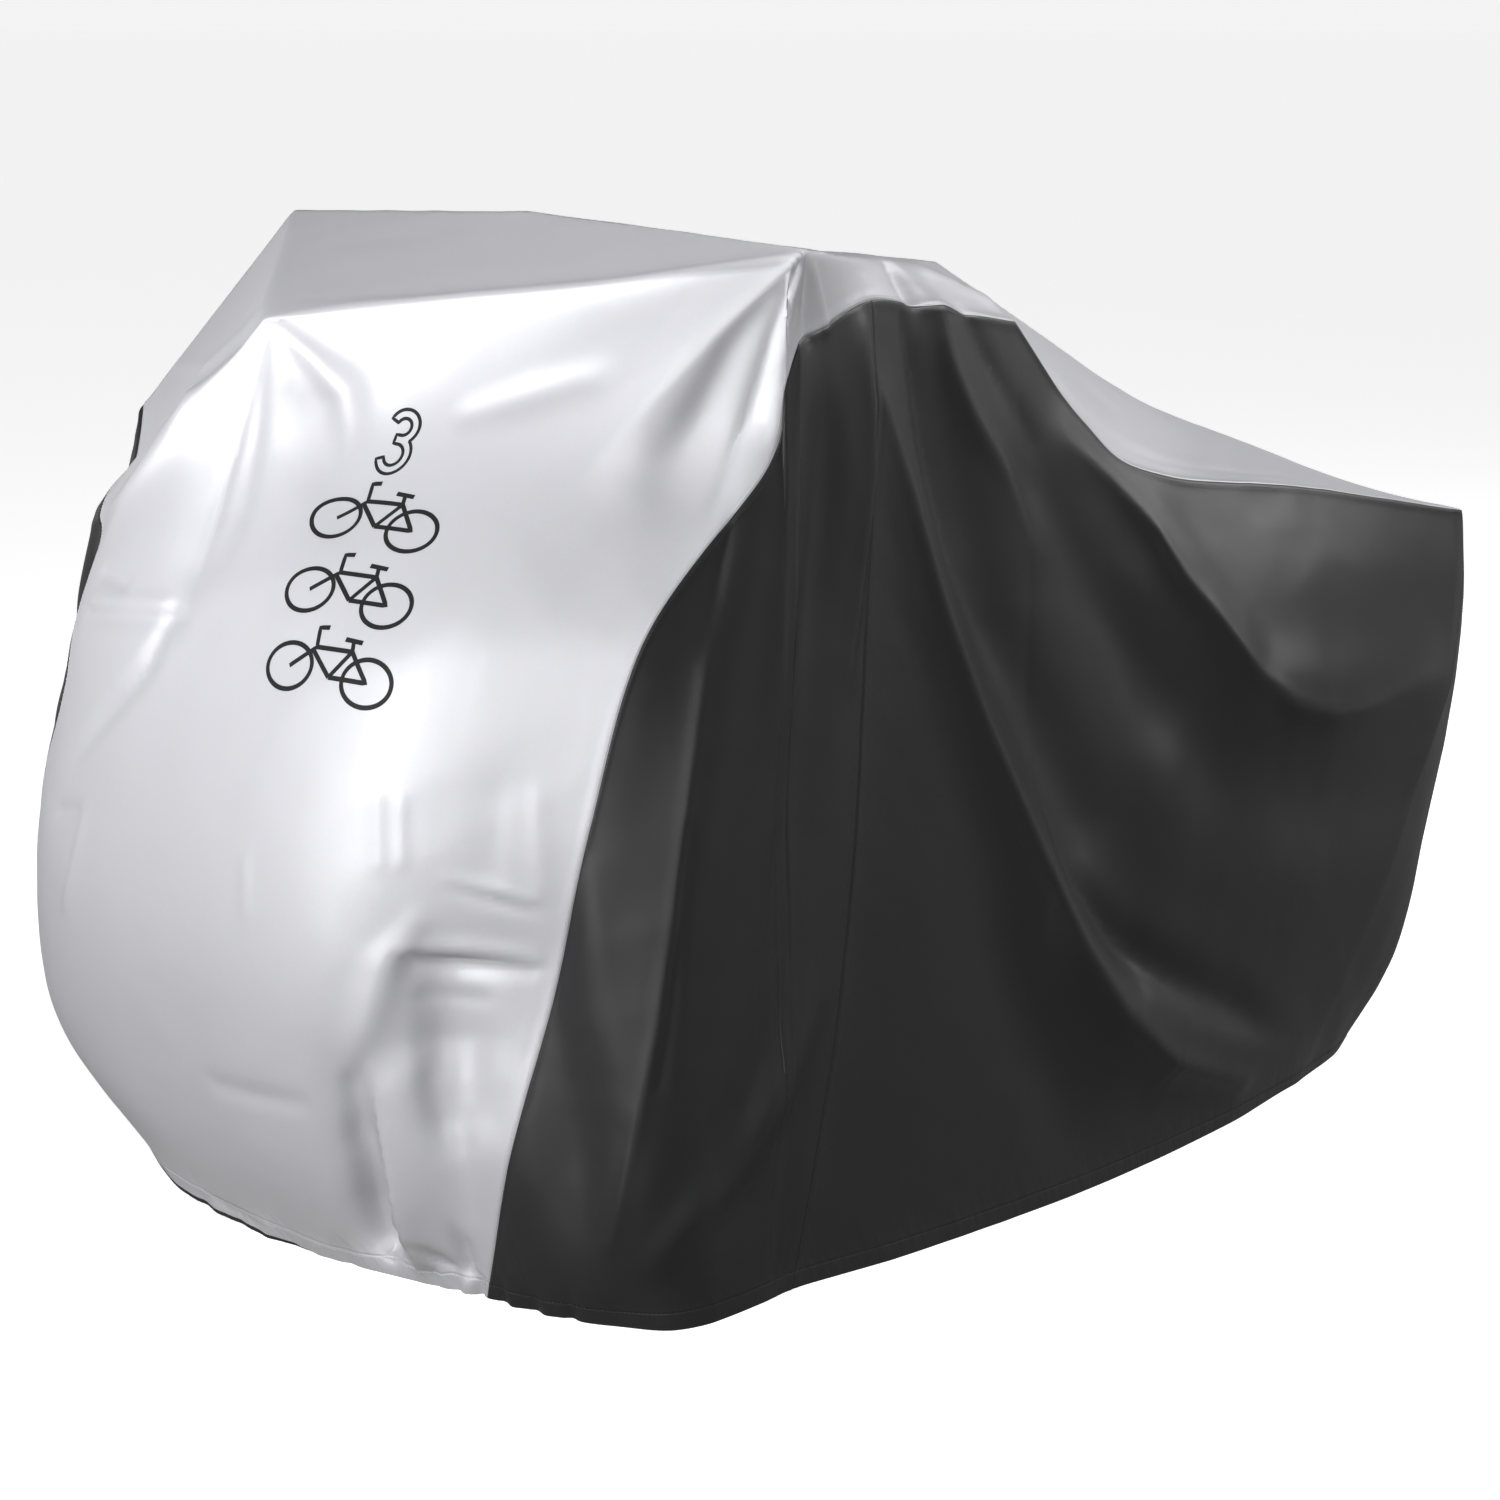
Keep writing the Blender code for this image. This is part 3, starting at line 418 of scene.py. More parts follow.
@dataclass(frozen=True)
class PhotoCamera:
    """The camera that took the photo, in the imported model's frame."""

    position: Place = (2.7919, -3.1730, 1.3101)
    azimuth_degrees: float = 41.9
    pitch_degrees: float = 11.95
    focal_length: float = 3417.0  # in the photo's own picture elements
    frame_size: float = 1500.0
    sensor_mm: float = 36.0

    def ray(self, place: PhotoPlace) -> Vector:
        """The direction in which the camera sees a place in the photo."""
        azimuth = math.radians(self.azimuth_degrees)
        pitch = math.radians(self.pitch_degrees)
        level = Vector((-math.sin(azimuth), math.cos(azimuth), 0.0))
        ahead = level * math.cos(pitch) - Vector((0.0, 0.0, math.sin(pitch)))
        right = level.cross(Vector((0.0, 0.0, 1.0)))
        upward = right.cross(ahead)
        across, down = (value - self.frame_size / 2 for value in place)
        return (ahead * self.focal_length + right * across - upward * down).normalized()

    def hit(self, tree: BVHTree, place: PhotoPlace) -> tuple:
        """Where the camera sees a place of the photo on some faces, and which way they face."""
        return tree.ray_cast(Vector(self.position), self.ray(place))[:2]

    def place(self) -> None:
        """Puts the scene's camera in the photo's place."""
        data = bpy.data.cameras.new("photo_camera")
        data.sensor_width = self.sensor_mm
        data.lens = self.sensor_mm * self.focal_length / self.frame_size
        camera = in_scene("photo_camera", data)
        camera.location = self.position
        tilt = math.pi / 2 - math.radians(self.pitch_degrees)
        camera.rotation_euler = (tilt, 0.0, math.radians(self.azimuth_degrees))
        bpy.context.scene.camera = camera


@dataclass
class DrapedSheet:
    """The whole cloth as one sheet: rows along the cover, and columns from the far hem to the near.

    Rows and columns are closer together beside seams and hems. After build(), width is how far each
    point is from its row's first point of silver and along how far from its column's start, measured
    on the cloth, and seam and hem are how far it is from the nearest seam and the nearest hem.
    """

    front_step: float = 0.0066
    rear_step: float = 0.0120
    least_step: float = 0.0022
    silver_columns: int = 144
    side_columns: int = 96
    seam_places: tuple[float, ...] = (0.0020, 0.0045, 0.0080, 0.0120, 0.0170)
    hem_places: tuple[float, ...] = (0.0030, 0.0080, 0.0140, 0.0190, 0.0230, 0.0290)
    hem_depth: float = 0.020
    least_width: float = 0.12  # of a row's stretch of one panel, for the places beside seams and hems
    least_slide: float = 0.0001
    crumple_depth: float = 0.0011
    crumple_seed: int = 41
    wander_scale: float = 3.0
    wander_reach: float = 0.10
    ridge_scale: float = 7.0
    ridge_steepness: float = 2.2
    ridge_share: float = 0.7
    fine_scale: float = 19.0
    fine_share: float = 0.45

    def build(self, camera: PhotoCamera) -> None:
        """Works the sheet out, with all its folds.

        Args:
            camera: the camera whose photo places the seen folds use.
        """
        self._lay_rows()
        self._smooth_sheet()
        self.normals = self._outward(self.points)
        self._press([placed(fold) for fold in FOLDS], BASE_SMOOTHINGS)
        tree = face_tree(self.points)
        seen = [seen_on_cloth(fold, tree, camera) for fold in SEEN_FOLDS]
        self._press([fold for fold in seen if len(fold.route) > 1], SEEN_SMOOTHINGS)
        self._press([fold for run in GATHER_RUNS for fold in gather_folds(run)], fades=False)
        self._crumple()
        self.points[..., 2] = np.maximum(self.points[..., 2], 0.0)
        self._measure()

    @property
    def far(self) -> slice:
        """The far side's columns, with the seam's own."""
        return slice(0, self.side_count + 1)

    @property
    def silver(self) -> slice:
        """The silver's columns, with both seams' own."""
        return slice(self.side_count, self.side_count + self.silver_count + 1)

    @property
    def near(self) -> slice:
        """The near side's columns, with the seam's own."""
        return slice(self.side_count + self.silver_count, None)

    def _lay_rows(self) -> None:
        """Spaces the rows, with one on each station and more beside the panel seam and the hems."""
        self.middles = (measures("far_shoulder") + measures("near_shoulder")) / 2
        self.knots = distances(self.middles)
        self.corners = frozenset(index for index, station in enumerate(STATIONS) if station.corner)
        names = [station.name for station in STATIONS]
        seam_knot = self.knots[names.index(PANEL_SEAM_STATION)]
        fine_until = names.index(FINE_UNTIL_STATION)
        rows = [self.knots[:1]]
        for index, (start, end) in enumerate(zip(self.knots[:-1], self.knots[1:])):
            step = self.front_step if index < fine_until else self.rear_step
            rows.append(np.linspace(start, end, max(1, round((end - start) / step)) + 1)[1:])
        beside, hems = np.array(self.seam_places), np.array(self.hem_places)
        ends = (hems, self.knots[-1] - hems)
        fixed = np.concatenate([self.knots, seam_knot - beside, seam_knot + beside, *ends])
        kept = [row for row in np.concatenate(rows) if np.min(abs(fixed - row)) > self.least_step]
        self.rows = np.unique(np.concatenate([fixed, kept]))
        self.seam_row = int(np.argmin(abs(self.rows - seam_knot)))

    def _at_rows(self, values: Array, doubles_back: bool = True) -> Array:
        """A measure of the stations, at every row."""
        return smooth_between(values, self.knots, self.rows, self.corners, doubles_back)

    def _silver_shares(self, width: float) -> Array:
        """Where the silver's columns lie across one row of a given width."""
        edge = np.array(self.seam_places) / max(width, self.least_width * 2)
        inside = np.linspace(edge[-1], 1 - edge[-1], self.silver_columns + 1)[1:-1]
        return np.concatenate([[0.0], edge, inside, 1 - edge[::-1], [1.0]])

    def _side_shares(self, width: float) -> Array:
        """Where a side's columns lie from its seam down to its hem, across one row."""
        width = max(width, self.least_width)
        edge = np.array(self.seam_places) / width
        foot = 1 - np.array(self.hem_places)[::-1] / width
        inside = np.linspace(edge[-1], foot[0], self.side_columns + 1)[1:-1]
        return np.concatenate([edge, inside, foot, [1.0]])

    def _smooth_sheet(self) -> None:
        """Lays the sheet without its folds."""
        far_shoulder, near_shoulder = measures("far_shoulder"), measures("near_shoulder")
        along = np.gradient(self.middles, self.knots, axis=0)
        out = unit(np.cross(near_shoulder - far_shoulder, along))
        crown = self.middles + out * measures("belly")[:, None]
        across = (measures("far_seam"), far_shoulder, crown, near_shoulder, measures("near_seam"))
        silver = []
        taut = self._at_rows(np.array([station.taut for station in STATIONS]))
        for points, tautness in zip(self._at_rows(np.stack(across, axis=1)), taut):
            run = distances(points)
            shares = self._silver_shares(run[-1])
            round_run = smooth_between(points, run / run[-1], shares)
            straight_run = places_on(points, run / run[-1], shares)
            silver.append(round_run + (straight_run - round_run) * np.clip(tautness, 0.0, 1.0))
        silver = np.array(silver)
        far, near = self._side("far", silver), self._side("near", silver)
        self.silver_count = silver.shape[1] - 1
        self.side_count = near.shape[1]
        sheet = np.concatenate([far[:, ::-1], silver, near], axis=1)
        self._slide_far_seam(sheet, self._at_rows(measures("slide")))
        self.points = sheet - np.array(MIDDLE)

    def _slide_far_seam(self, sheet: Array, slides: Array) -> None:
        """Moves the far seam over the cloth, whose shape stays as it is.

        Args:
            sheet: the sheet's points; its far side and silver are moved along their rows.
            slides: how far the seam moves, for each row.
        """
        seam = self.side_count
        for line, slide in zip(sheet[:, : self.near.start + 1], slides):
            run = distances(line)
            if slide < self.least_slide or run[seam] < self.least_width:
                continue
            side, silver = run[seam], run[-1] - run[seam]
            far = run[:seam] * (side + slide) / side
            rest = run[-1] - (run[-1] - run[seam:]) * (silver - slide) / silver
            line[:] = places_on(line, run, np.concatenate([far, rest]))

    def _side(self, side: str, silver: Array) -> Array:
        """A black side's points from its seam down to its hem, without the seam's own.

        Args:
            side: far or near.
            silver: the silver's points.

        Returns:
            A row for each row of the sheet.
        """
        hem = self._at_rows(measures(side + "_hem"), False)
        swell = self._at_rows(measures(side + "_swell"))
        sweep = self._at_rows(measures("sweep"))
        upward = (0.0, 0.0, 1.0 if side == "near" else -1.0)
        outward = unit(np.cross(np.gradient(hem, self.rows, axis=0), upward))
        stands = np.pad(swell, ((0, 0), (1, 1)))
        swell_knots = np.array((0.0, *SWELL_PLACES, 1.0))
        rows = []
        for index, (start, end) in enumerate(zip(silver[:, 0 if side == "far" else -1], hem)):
            shares = self._side_shares(float(np.linalg.norm(end - start)))
            stand = smooth_between(stands[index], swell_knots, shares)
            points = start + (end - start) * shares[:, None] + outward[index] * stand[:, None]
            points[:, 1] += sweep[index] * np.sin(np.pi * shares)
            rows.append(points)
        return np.array(rows)

    def _outward(self, points: Array) -> Array:
        """The outward direction at each point, from the faces that meet there."""
        across = points[:, 1:] - points[:, :-1]
        along = points[1:] - points[:-1]
        faces = np.cross(across[:-1] + across[1:], along[:, :-1] + along[:, 1:])
        normals = np.zeros_like(points)
        for row in (0, 1):
            for place in (0, 1):
                normals[row : row + len(faces), place : place + faces.shape[1]] += faces
        for row in (0, -1):
            for foot in (self.far, self.near):
                normals[row, foot] = normals[row, foot].sum(axis=0)
        return unit(normals)

    def _press(self, folds: list[Fold], smoothings: int = 0, fades: bool = True) -> None:
        """Presses folds into the sheet, each at right angles to it.

        Args:
            folds: the folds, laid on the sheet.
            smoothings: how many times the folds' depths are evened out between neighbouring points.
            fades: whether the folds grow shallower near the ground.
        """
        depth = np.zeros(self.points.shape[:2])
        for fold in folds:
            add_fold(depth, self.points, self.normals, fold)
        for _ in range(smoothings):
            sides = depth[:-2, 1:-1] + depth[2:, 1:-1] + depth[1:-1, :-2] + depth[1:-1, 2:]
            depth[1:-1, 1:-1] = (sides + 4 * depth[1:-1, 1:-1]) / 8
        if fades:
            depth *= np.clip(GROUND_SHARE + self.points[..., 2] / GROUND_FADE, 0.0, 1.0)
        self.points = self.points + self.normals * depth[..., None]
        self.points[..., 2] = np.maximum(self.points[..., 2], 0.0)
        self.normals = self._outward(self.points)

    def _crumple(self) -> None:
        """Presses shallow, wandering crumples into the cloth."""
        noise.seed_set(self.crumple_seed)
        shift = Vector((self.crumple_seed, 2.0 * self.crumple_seed, 0.5 * self.crumple_seed))
        depth = np.zeros(self.points.shape[:2])
        for index in np.ndindex(depth.shape):
            place = Vector(self.points[index])
            place += noise.noise_vector(place * self.wander_scale + shift) * self.wander_reach
            ridge = 1.0 - abs(noise.noise(place * self.ridge_scale + shift)) * self.ridge_steepness
            fine = noise.noise(place * self.fine_scale - shift)
            depth[index] = ridge * self.ridge_share + fine * self.fine_share
        self.points += self.normals * (depth * self.crumple_depth)[..., None]
        self.normals = self._outward(self.points)

    def _measure(self) -> None:
        """Measures how far each point is along its row and column, and from seams and hems."""
        steps = [np.linalg.norm(np.diff(self.points, axis=axis), axis=2) for axis in (0, 1)]
        self.along, across = (np.insert(np.cumsum(steps[axis], axis), 0, 0.0, axis) for axis in (0, 1))
        seams = (self.silver.start, self.near.start)
        self.seam = np.min([abs(across - across[:, [place]]) for place in seams], axis=0)
        for side in (self.far, self.near):
            panel_seam = abs(self.along[:, side] - self.along[self.seam_row, side])
            self.seam[:, side] = np.minimum(self.seam[:, side], panel_seam)
        self.hem = np.minimum(across, across[:, [-1]] - across)
        silver = self.along[:, self.silver]
        self.hem[:, self.silver] = np.minimum(silver, silver[[-1]] - silver)
        self.width = across - across[:, [self.silver.start]]

    def hem_line(self) -> Array:
        """The closed line of the hem: front, near side, rear and far side."""
        near, far = self.points[1:-1, -1], self.points[1:-1, 0][::-1]
        front, rear = self.points[0, self.silver], self.points[-1, self.silver][::-1]
        return np.concatenate([front, near, rear, far])


def placed(fold: Fold) -> Fold:
    """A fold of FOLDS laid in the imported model's frame, in metres."""
    route, widths, depths = (np.array(values) / 1000 for values in (fold.route, fold.widths, fold.depths))
    return replace(fold, route=route - np.array(MIDDLE), widths=widths, depths=depths)


def seen_on_cloth(fold: Fold, tree: BVHTree, camera: PhotoCamera, spacing: float = 9.0) -> Fold:
    """A fold of SEEN_FOLDS laid on the cloth, in metres.

    Args:
        fold: the fold, with places of the photo.
        tree: the cloth's faces.
        camera: the photo's camera.
        spacing: how far apart the laid route's points are in the photo.

    Returns:
        The fold, without the points where the camera's rays miss the cloth.
    """
    route = np.array(fold.route, float)
    stops = distances(route)
    at = np.linspace(0.0, stops[-1], max(2, math.ceil(stops[-1] / spacing) + 1))
    hits = [camera.hit(tree, place)[0] for place in places_on(route, stops, at)]
    kept = [index for index, place in enumerate(hits) if place is not None]
    widths, depths = (np.interp(at, stops, values)[kept] / 1000 for values in (fold.widths, fold.depths))
    return replace(fold, route=np.array([hits[index] for index in kept]), widths=widths, depths=depths)


def gather_folds(run: GatherRun) -> list[Fold]:
    """The short folds of one run of gathers, unevenly spaced, each leaning a little."""
    chance = np.random.default_rng(run.seed)
    start, end = np.array(run.start) / 1000 - MIDDLE, np.array(run.end) / 1000 - MIDDLE
    folds = []
    for number in range(run.count):
        share = (number + chance.uniform(*GATHER_PLACES)) / run.count
        foot = start + (end - start) * share
        height = run.height / 1000 * chance.uniform(*GATHER_HEIGHTS)
        lean = unit(end - start) * height * chance.uniform(*GATHER_LEANS)
        top = foot + lean + np.array((0.0, 0.0, height))
        depth = run.depth / 1000 * chance.uniform(*GATHER_DEPTHS) * (1 if number % 2 else -1)
        widths = np.array((0.7, 1.0, 1.1)) * run.width / 1000
        route = np.array((top, (top + foot) / 2, foot))
        folds.append(Fold(f"{run.name} {number}", route, widths, np.array((0.0, 0.7, 1.0)) * depth))
    return folds


def add_fold(depth: Array, points: Array, normals: Array, fold: Fold) -> None:
    """Adds to each point's depth what a fold moves it outwards.

    Args:
        depth: how far each point is to move; it is added to.
        points: the sheet's points.
        normals: the sheet's outward directions.
        fold: the fold, laid on the sheet.
    """
    route = fold.route
    reach = FOLD_REACH * max(fold.widths) * (1 + abs(fold.lean))
    near = ((points > route.min(axis=0) - reach) & (points < route.max(axis=0) + reach)).all(axis=-1)
    spots, outward = points[near], normals[near]
    nearest = np.full(len(spots), np.inf)
    place, hand = np.zeros(len(spots)), np.zeros(len(spots))
    for index, (start, run) in enumerate(zip(route[:-1], np.diff(route, axis=0))):
        share = np.clip(((spots - start) @ run) / max(float(run @ run), 1e-12), 0.0, 1.0)
        offset = spots - (start + share[:, None] * run)
        distance = np.linalg.norm(offset, axis=1)
        nearer = distance < nearest
        nearest[nearer] = distance[nearer]
        place[nearer] = index + share[nearer]
        hand[nearer] = np.sign((offset[nearer] * np.cross(outward[nearer], run)).sum(axis=1))
    stops = np.arange(len(route))
    share = nearest / (np.interp(place, stops, fold.widths) * (1 + fold.lean * hand))
    if fold.profile is Profile.CREASE:
        fall = np.exp(-CREASE_FALL * (np.sqrt(share**2 + CREASE_ROUNDING**2) - CREASE_ROUNDING))
    elif fold.profile is Profile.ROLL:
        fall = hand * share * np.exp(-(share**2)) * ROLL_PEAK
    else:
        fall = np.exp(-(share**2))
    depth[near] += np.interp(place, stops, fold.depths) * fall


def outer_face(sheet: DrapedSheet) -> Array:
    """The sheet's outer face, lifted by its seams' allowances and the hem's casing."""
    lift, middle, half_width = ALLOWANCE
    allowance = lift * np.exp(-(((sheet.seam - middle) / half_width) ** 2))
    casing = CASING[0] / (1 + np.exp((sheet.hem - sheet.hem_depth) / CASING[1]))
    return sheet.points + sheet.normals * (CLOTH_THICKNESS / 2 + (allowance + casing))[..., None]


def in_scene(name: str, data: bpy.types.ID) -> bpy.types.Object:
    """An object of a mesh, lamp or camera, in the scene and at the origin."""
    made = bpy.data.objects.new(name, data)
    bpy.context.scene.collection.objects.link(made)
    return made


def give_values(mesh: bpy.types.Mesh, name: str, values: Array) -> None:
    """Gives a mesh a number for each point."""
    mesh.attributes.new(name, "FLOAT", "POINT").data.foreach_set("value", values.astype(np.float32))


@dataclass
class ClothPanel:
    """One panel of the cover, parted from the sheet and given its thickness.

    The flat size is the cut panel's greatest width and length, and the area that of its shape.
    """

    name: str
    node: str
    slot: str
    side: str
    part: str
    flat: tuple[float, float]
    area: float

    def build(self, sheet: DrapedSheet, finish: "ClothFinish") -> bpy.types.Object:
        """Args:
            sheet: the whole cloth.
            finish: the panel's finish.

        Returns:
            The panel's object.
        """
        seam = sheet.seam_row
        rows = {"front": slice(seam + 1), "rear": slice(seam, None), "whole": slice(None)}[self.part]
        here = rows, getattr(sheet, self.side)
        shift = self._drawn_back(sheet.points[here])
        outer = outer_face(sheet)[here] + shift
        inner = sheet.points[here] + shift - sheet.normals[here] * CLOTH_THICKNESS / 2
        for skin in (outer, inner):
            skin[..., 2] = np.maximum(skin[..., 2], 0.0)
        along_hem = sheet.width if self.side == "silver" else sheet.along
        fields = {"seam": sheet.seam[here], "hem": sheet.hem[here], "hem_run": along_hem[here]}
        flat_places = np.stack([sheet.width[here], sheet.along[here]], axis=-1)
        mesh = skinned_mesh(self.name, outer, inner, fields, flat_places)
        mesh.materials.append(finish.make())
        panel = in_scene(self.name, mesh)
        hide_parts(self.node)
        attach(panel, "root")
        return panel

    def _drawn_back(self, spots: Array) -> Array:
        """How far each point is drawn back from the seams round the panel."""
        shift = np.zeros_like(spots)
        half = SEAM_GAP / 2
        if self.side in ("silver", "near"):
            shift[:, 0] += unit(spots[:, 1] - spots[:, 0]) * half
        if self.side in ("silver", "far"):
            shift[:, -1] += unit(spots[:, -2] - spots[:, -1]) * half
        if self.part == "rear":
            shift[0] += unit(spots[1] - spots[0]) * half
        if self.part == "front":
            shift[-1] += unit(spots[-2] - spots[-1]) * half
        return shift


def coarse_faces(index: Array) -> list[list[int]]:
    """Faces over every second row and column of a grid, turned over, with every point of its rim.

    Args:
        index: the number of each of the grid's points.

    Returns:
        The point numbers of each face.
    """
    last_row, last_place = index.shape[0] - 1, index.shape[1] - 1
    row_stops = [*range(0, last_row, 2), last_row]
    place_stops = [*range(0, last_place, 2), last_place]
    faces = []
    for top, foot in zip(row_stops[:-1], row_stops[1:]):
        for start, end in zip(place_stops[:-1], place_stops[1:]):
            along_top = range(start, end) if top == 0 else (start,)
            along_end = range(top, foot) if end == last_place else (top,)
            along_foot = range(end, start, -1) if foot == last_row else (end,)
            along_start = range(foot, top, -1) if start == 0 else (foot,)
            ring = [index[top, place] for place in along_top] + [index[row, end] for row in along_end]
            ring += [index[foot, place] for place in along_foot]
            ring += [index[row, start] for row in along_start]
            faces.append([int(corner) for corner in reversed(ring)])
    return faces


def skinned_mesh(
    name: str, outer: Array, inner: Array, fields: dict[str, Array], flat: Array
) -> bpy.types.Mesh:
    """A closed mesh of an outer grid of points and a coarser inner one, joined round their rim.

    Args:
        name: the mesh's name.
        outer: the outer grid's points.
        inner: the inner grid's points.
        fields: a number for each point, by attribute name.
        flat: each point's place on the flat cloth, for the UV map.

    Returns:
        The mesh, smooth but for its rim.
    """
    index = numbered(outer)
    count = index.size
    for row in (0, -1):
        if np.ptp(outer[row], axis=0).max() < ONE_POINT:
            index[row] = index[row, 0]
    rim = np.concatenate([index[0, :-1], index[:-1, -1], index[-1, :0:-1], index[:0:-1, 0]])
    there = np.roll(rim, -1)
    rim_faces = np.stack([there, rim, rim + count, there + count], axis=-1).tolist()
    faces = []
    for face in grid_faces(index) + coarse_faces(index + count) + rim_faces:
        kept = [corner for place, corner in enumerate(face) if corner != face[place - 1]]
        if len(kept) > 2:
            faces.append(kept)
    used = np.unique(np.concatenate(faces))
    renumbered = np.zeros(count * 2, int)
    renumbered[used] = np.arange(len(used))
    points = np.concatenate([outer.reshape(-1, 3), inner.reshape(-1, 3)])[used]
    mesh = bpy.data.meshes.new(name)
    mesh.from_pydata(points.tolist(), [], [renumbered[face].tolist() for face in faces])
    for field_name, values in fields.items():
        give_values(mesh, field_name, np.tile(values.ravel(), 2)[used])
    corner_points = np.zeros(len(mesh.loops), int)
    mesh.loops.foreach_get("vertex_index", corner_points)
    on_flat = np.tile(flat.reshape(-1, 2), (2, 1))[used]
    uv = mesh.uv_layers.new(name="cloth")
    uv.data.foreach_set("uv", on_flat[corner_points].ravel().astype(np.float32))
    mesh.shade_smooth()
    on_rim = np.zeros(len(points), bool)
    on_rim[renumbered[np.concatenate([rim, rim + count])]] = True
    ends = np.zeros(len(mesh.edges) * 2, int)
    mesh.edges.foreach_get("vertices", ends)
    sharp = mesh.attributes.new("sharp_edge", "BOOLEAN", "EDGE")
    sharp.data.foreach_set("value", on_rim[ends.reshape(-1, 2)].all(axis=1))
    return mesh


@dataclass
class HemElastic:
    """The elastic that runs inside the hem, drawn up into small ribs. Its foot hangs a little below the
    hem's edge, so the real elastic also shows a dark strip there that is painted shade under the hem.
    """

    node: str = "hem_elastic"
    width: float = 0.012
    thickness: float = 0.0012
    clearance: float = 0.0006
    ground_clearance: float = 0.0005
    lean: float = 0.40
    spacing: float = 0.004
    evened_over: int = 4  # points each way, over which the band's direction is taken
    # how far the band hangs below the hem: a dark strip that is painted shade under the hem
    painted_shade_drop: float = 0.006
    rib_pitch: float = 0.0085
    rib_depth: float = 0.0004
    rises: tuple[float, ...] = (0.0, 0.33, 0.67, 1.0)  # shares of the width, with a loop of points at each

    def build(self, sheet: DrapedSheet, finish: "GrainFinish") -> bpy.types.Object:
        """Makes the closed band just inside the hem.

        Args:
            sheet: the whole cloth.
            finish: the band's finish.

        Returns:
            The band's object.
        """
        hem = evenly_spaced(sheet.hem_line(), self.spacing)
        run = unit(np.roll(hem, -self.evened_over, axis=0) - np.roll(hem, self.evened_over, axis=0))
        inward = unit(np.cross((0.0, 0.0, 1.0), unit(run * (1.0, 1.0, 0.0))))
        at = np.cumsum(np.linalg.norm(np.roll(hem, -1, axis=0) - hem, axis=1))
        rib = self.rib_depth * (1 - np.cos(2 * math.pi * at / self.rib_pitch)) / 2
        outer = hem + inward * (CLOTH_THICKNESS / 2 + self.clearance + rib)[:, None]
        # The elastic is real, but its foot hanging below the hem's edge is painted shade under the hem.
        outer[:, 2] = np.maximum(hem[:, 2] - self.painted_shade_drop, self.ground_clearance)
        rise = np.array((0.0, 0.0, self.width)) + inward * self.lean * self.width
        loops = [outer + rise * share for share in self.rises]
        loops += [outer + rise * share + inward * self.thickness for share in reversed(self.rises)]
        count = len(hem)
        place = np.arange(count)
        after = np.roll(place, -1)
        faces = []
        for loop in range(len(loops)):
            this, other = loop * count, (loop + 1) % len(loops) * count
            faces.append(np.stack([place + this, place + other, after + other, after + this], axis=-1))
        mesh = bpy.data.meshes.new("hem_elastic_band")
        mesh.from_pydata(np.concatenate(loops).tolist(), [], np.concatenate(faces).tolist())
        give_values(mesh, "hem_run", np.tile(at, len(loops)))
        mesh.shade_smooth()
        mesh.materials.append(finish.make())
        band = in_scene("hem_elastic_band", mesh)
        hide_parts(self.node)
        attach(band, "root")
        return band


def evenly_spaced(loop: Array, spacing: float) -> Array:
    """A closed line's points at an even spacing."""
    closed = np.concatenate([loop, loop[:1]])
    at = distances(closed)
    return places_on(closed, at, np.linspace(0.0, at[-1], int(at[-1] / spacing), endpoint=False))


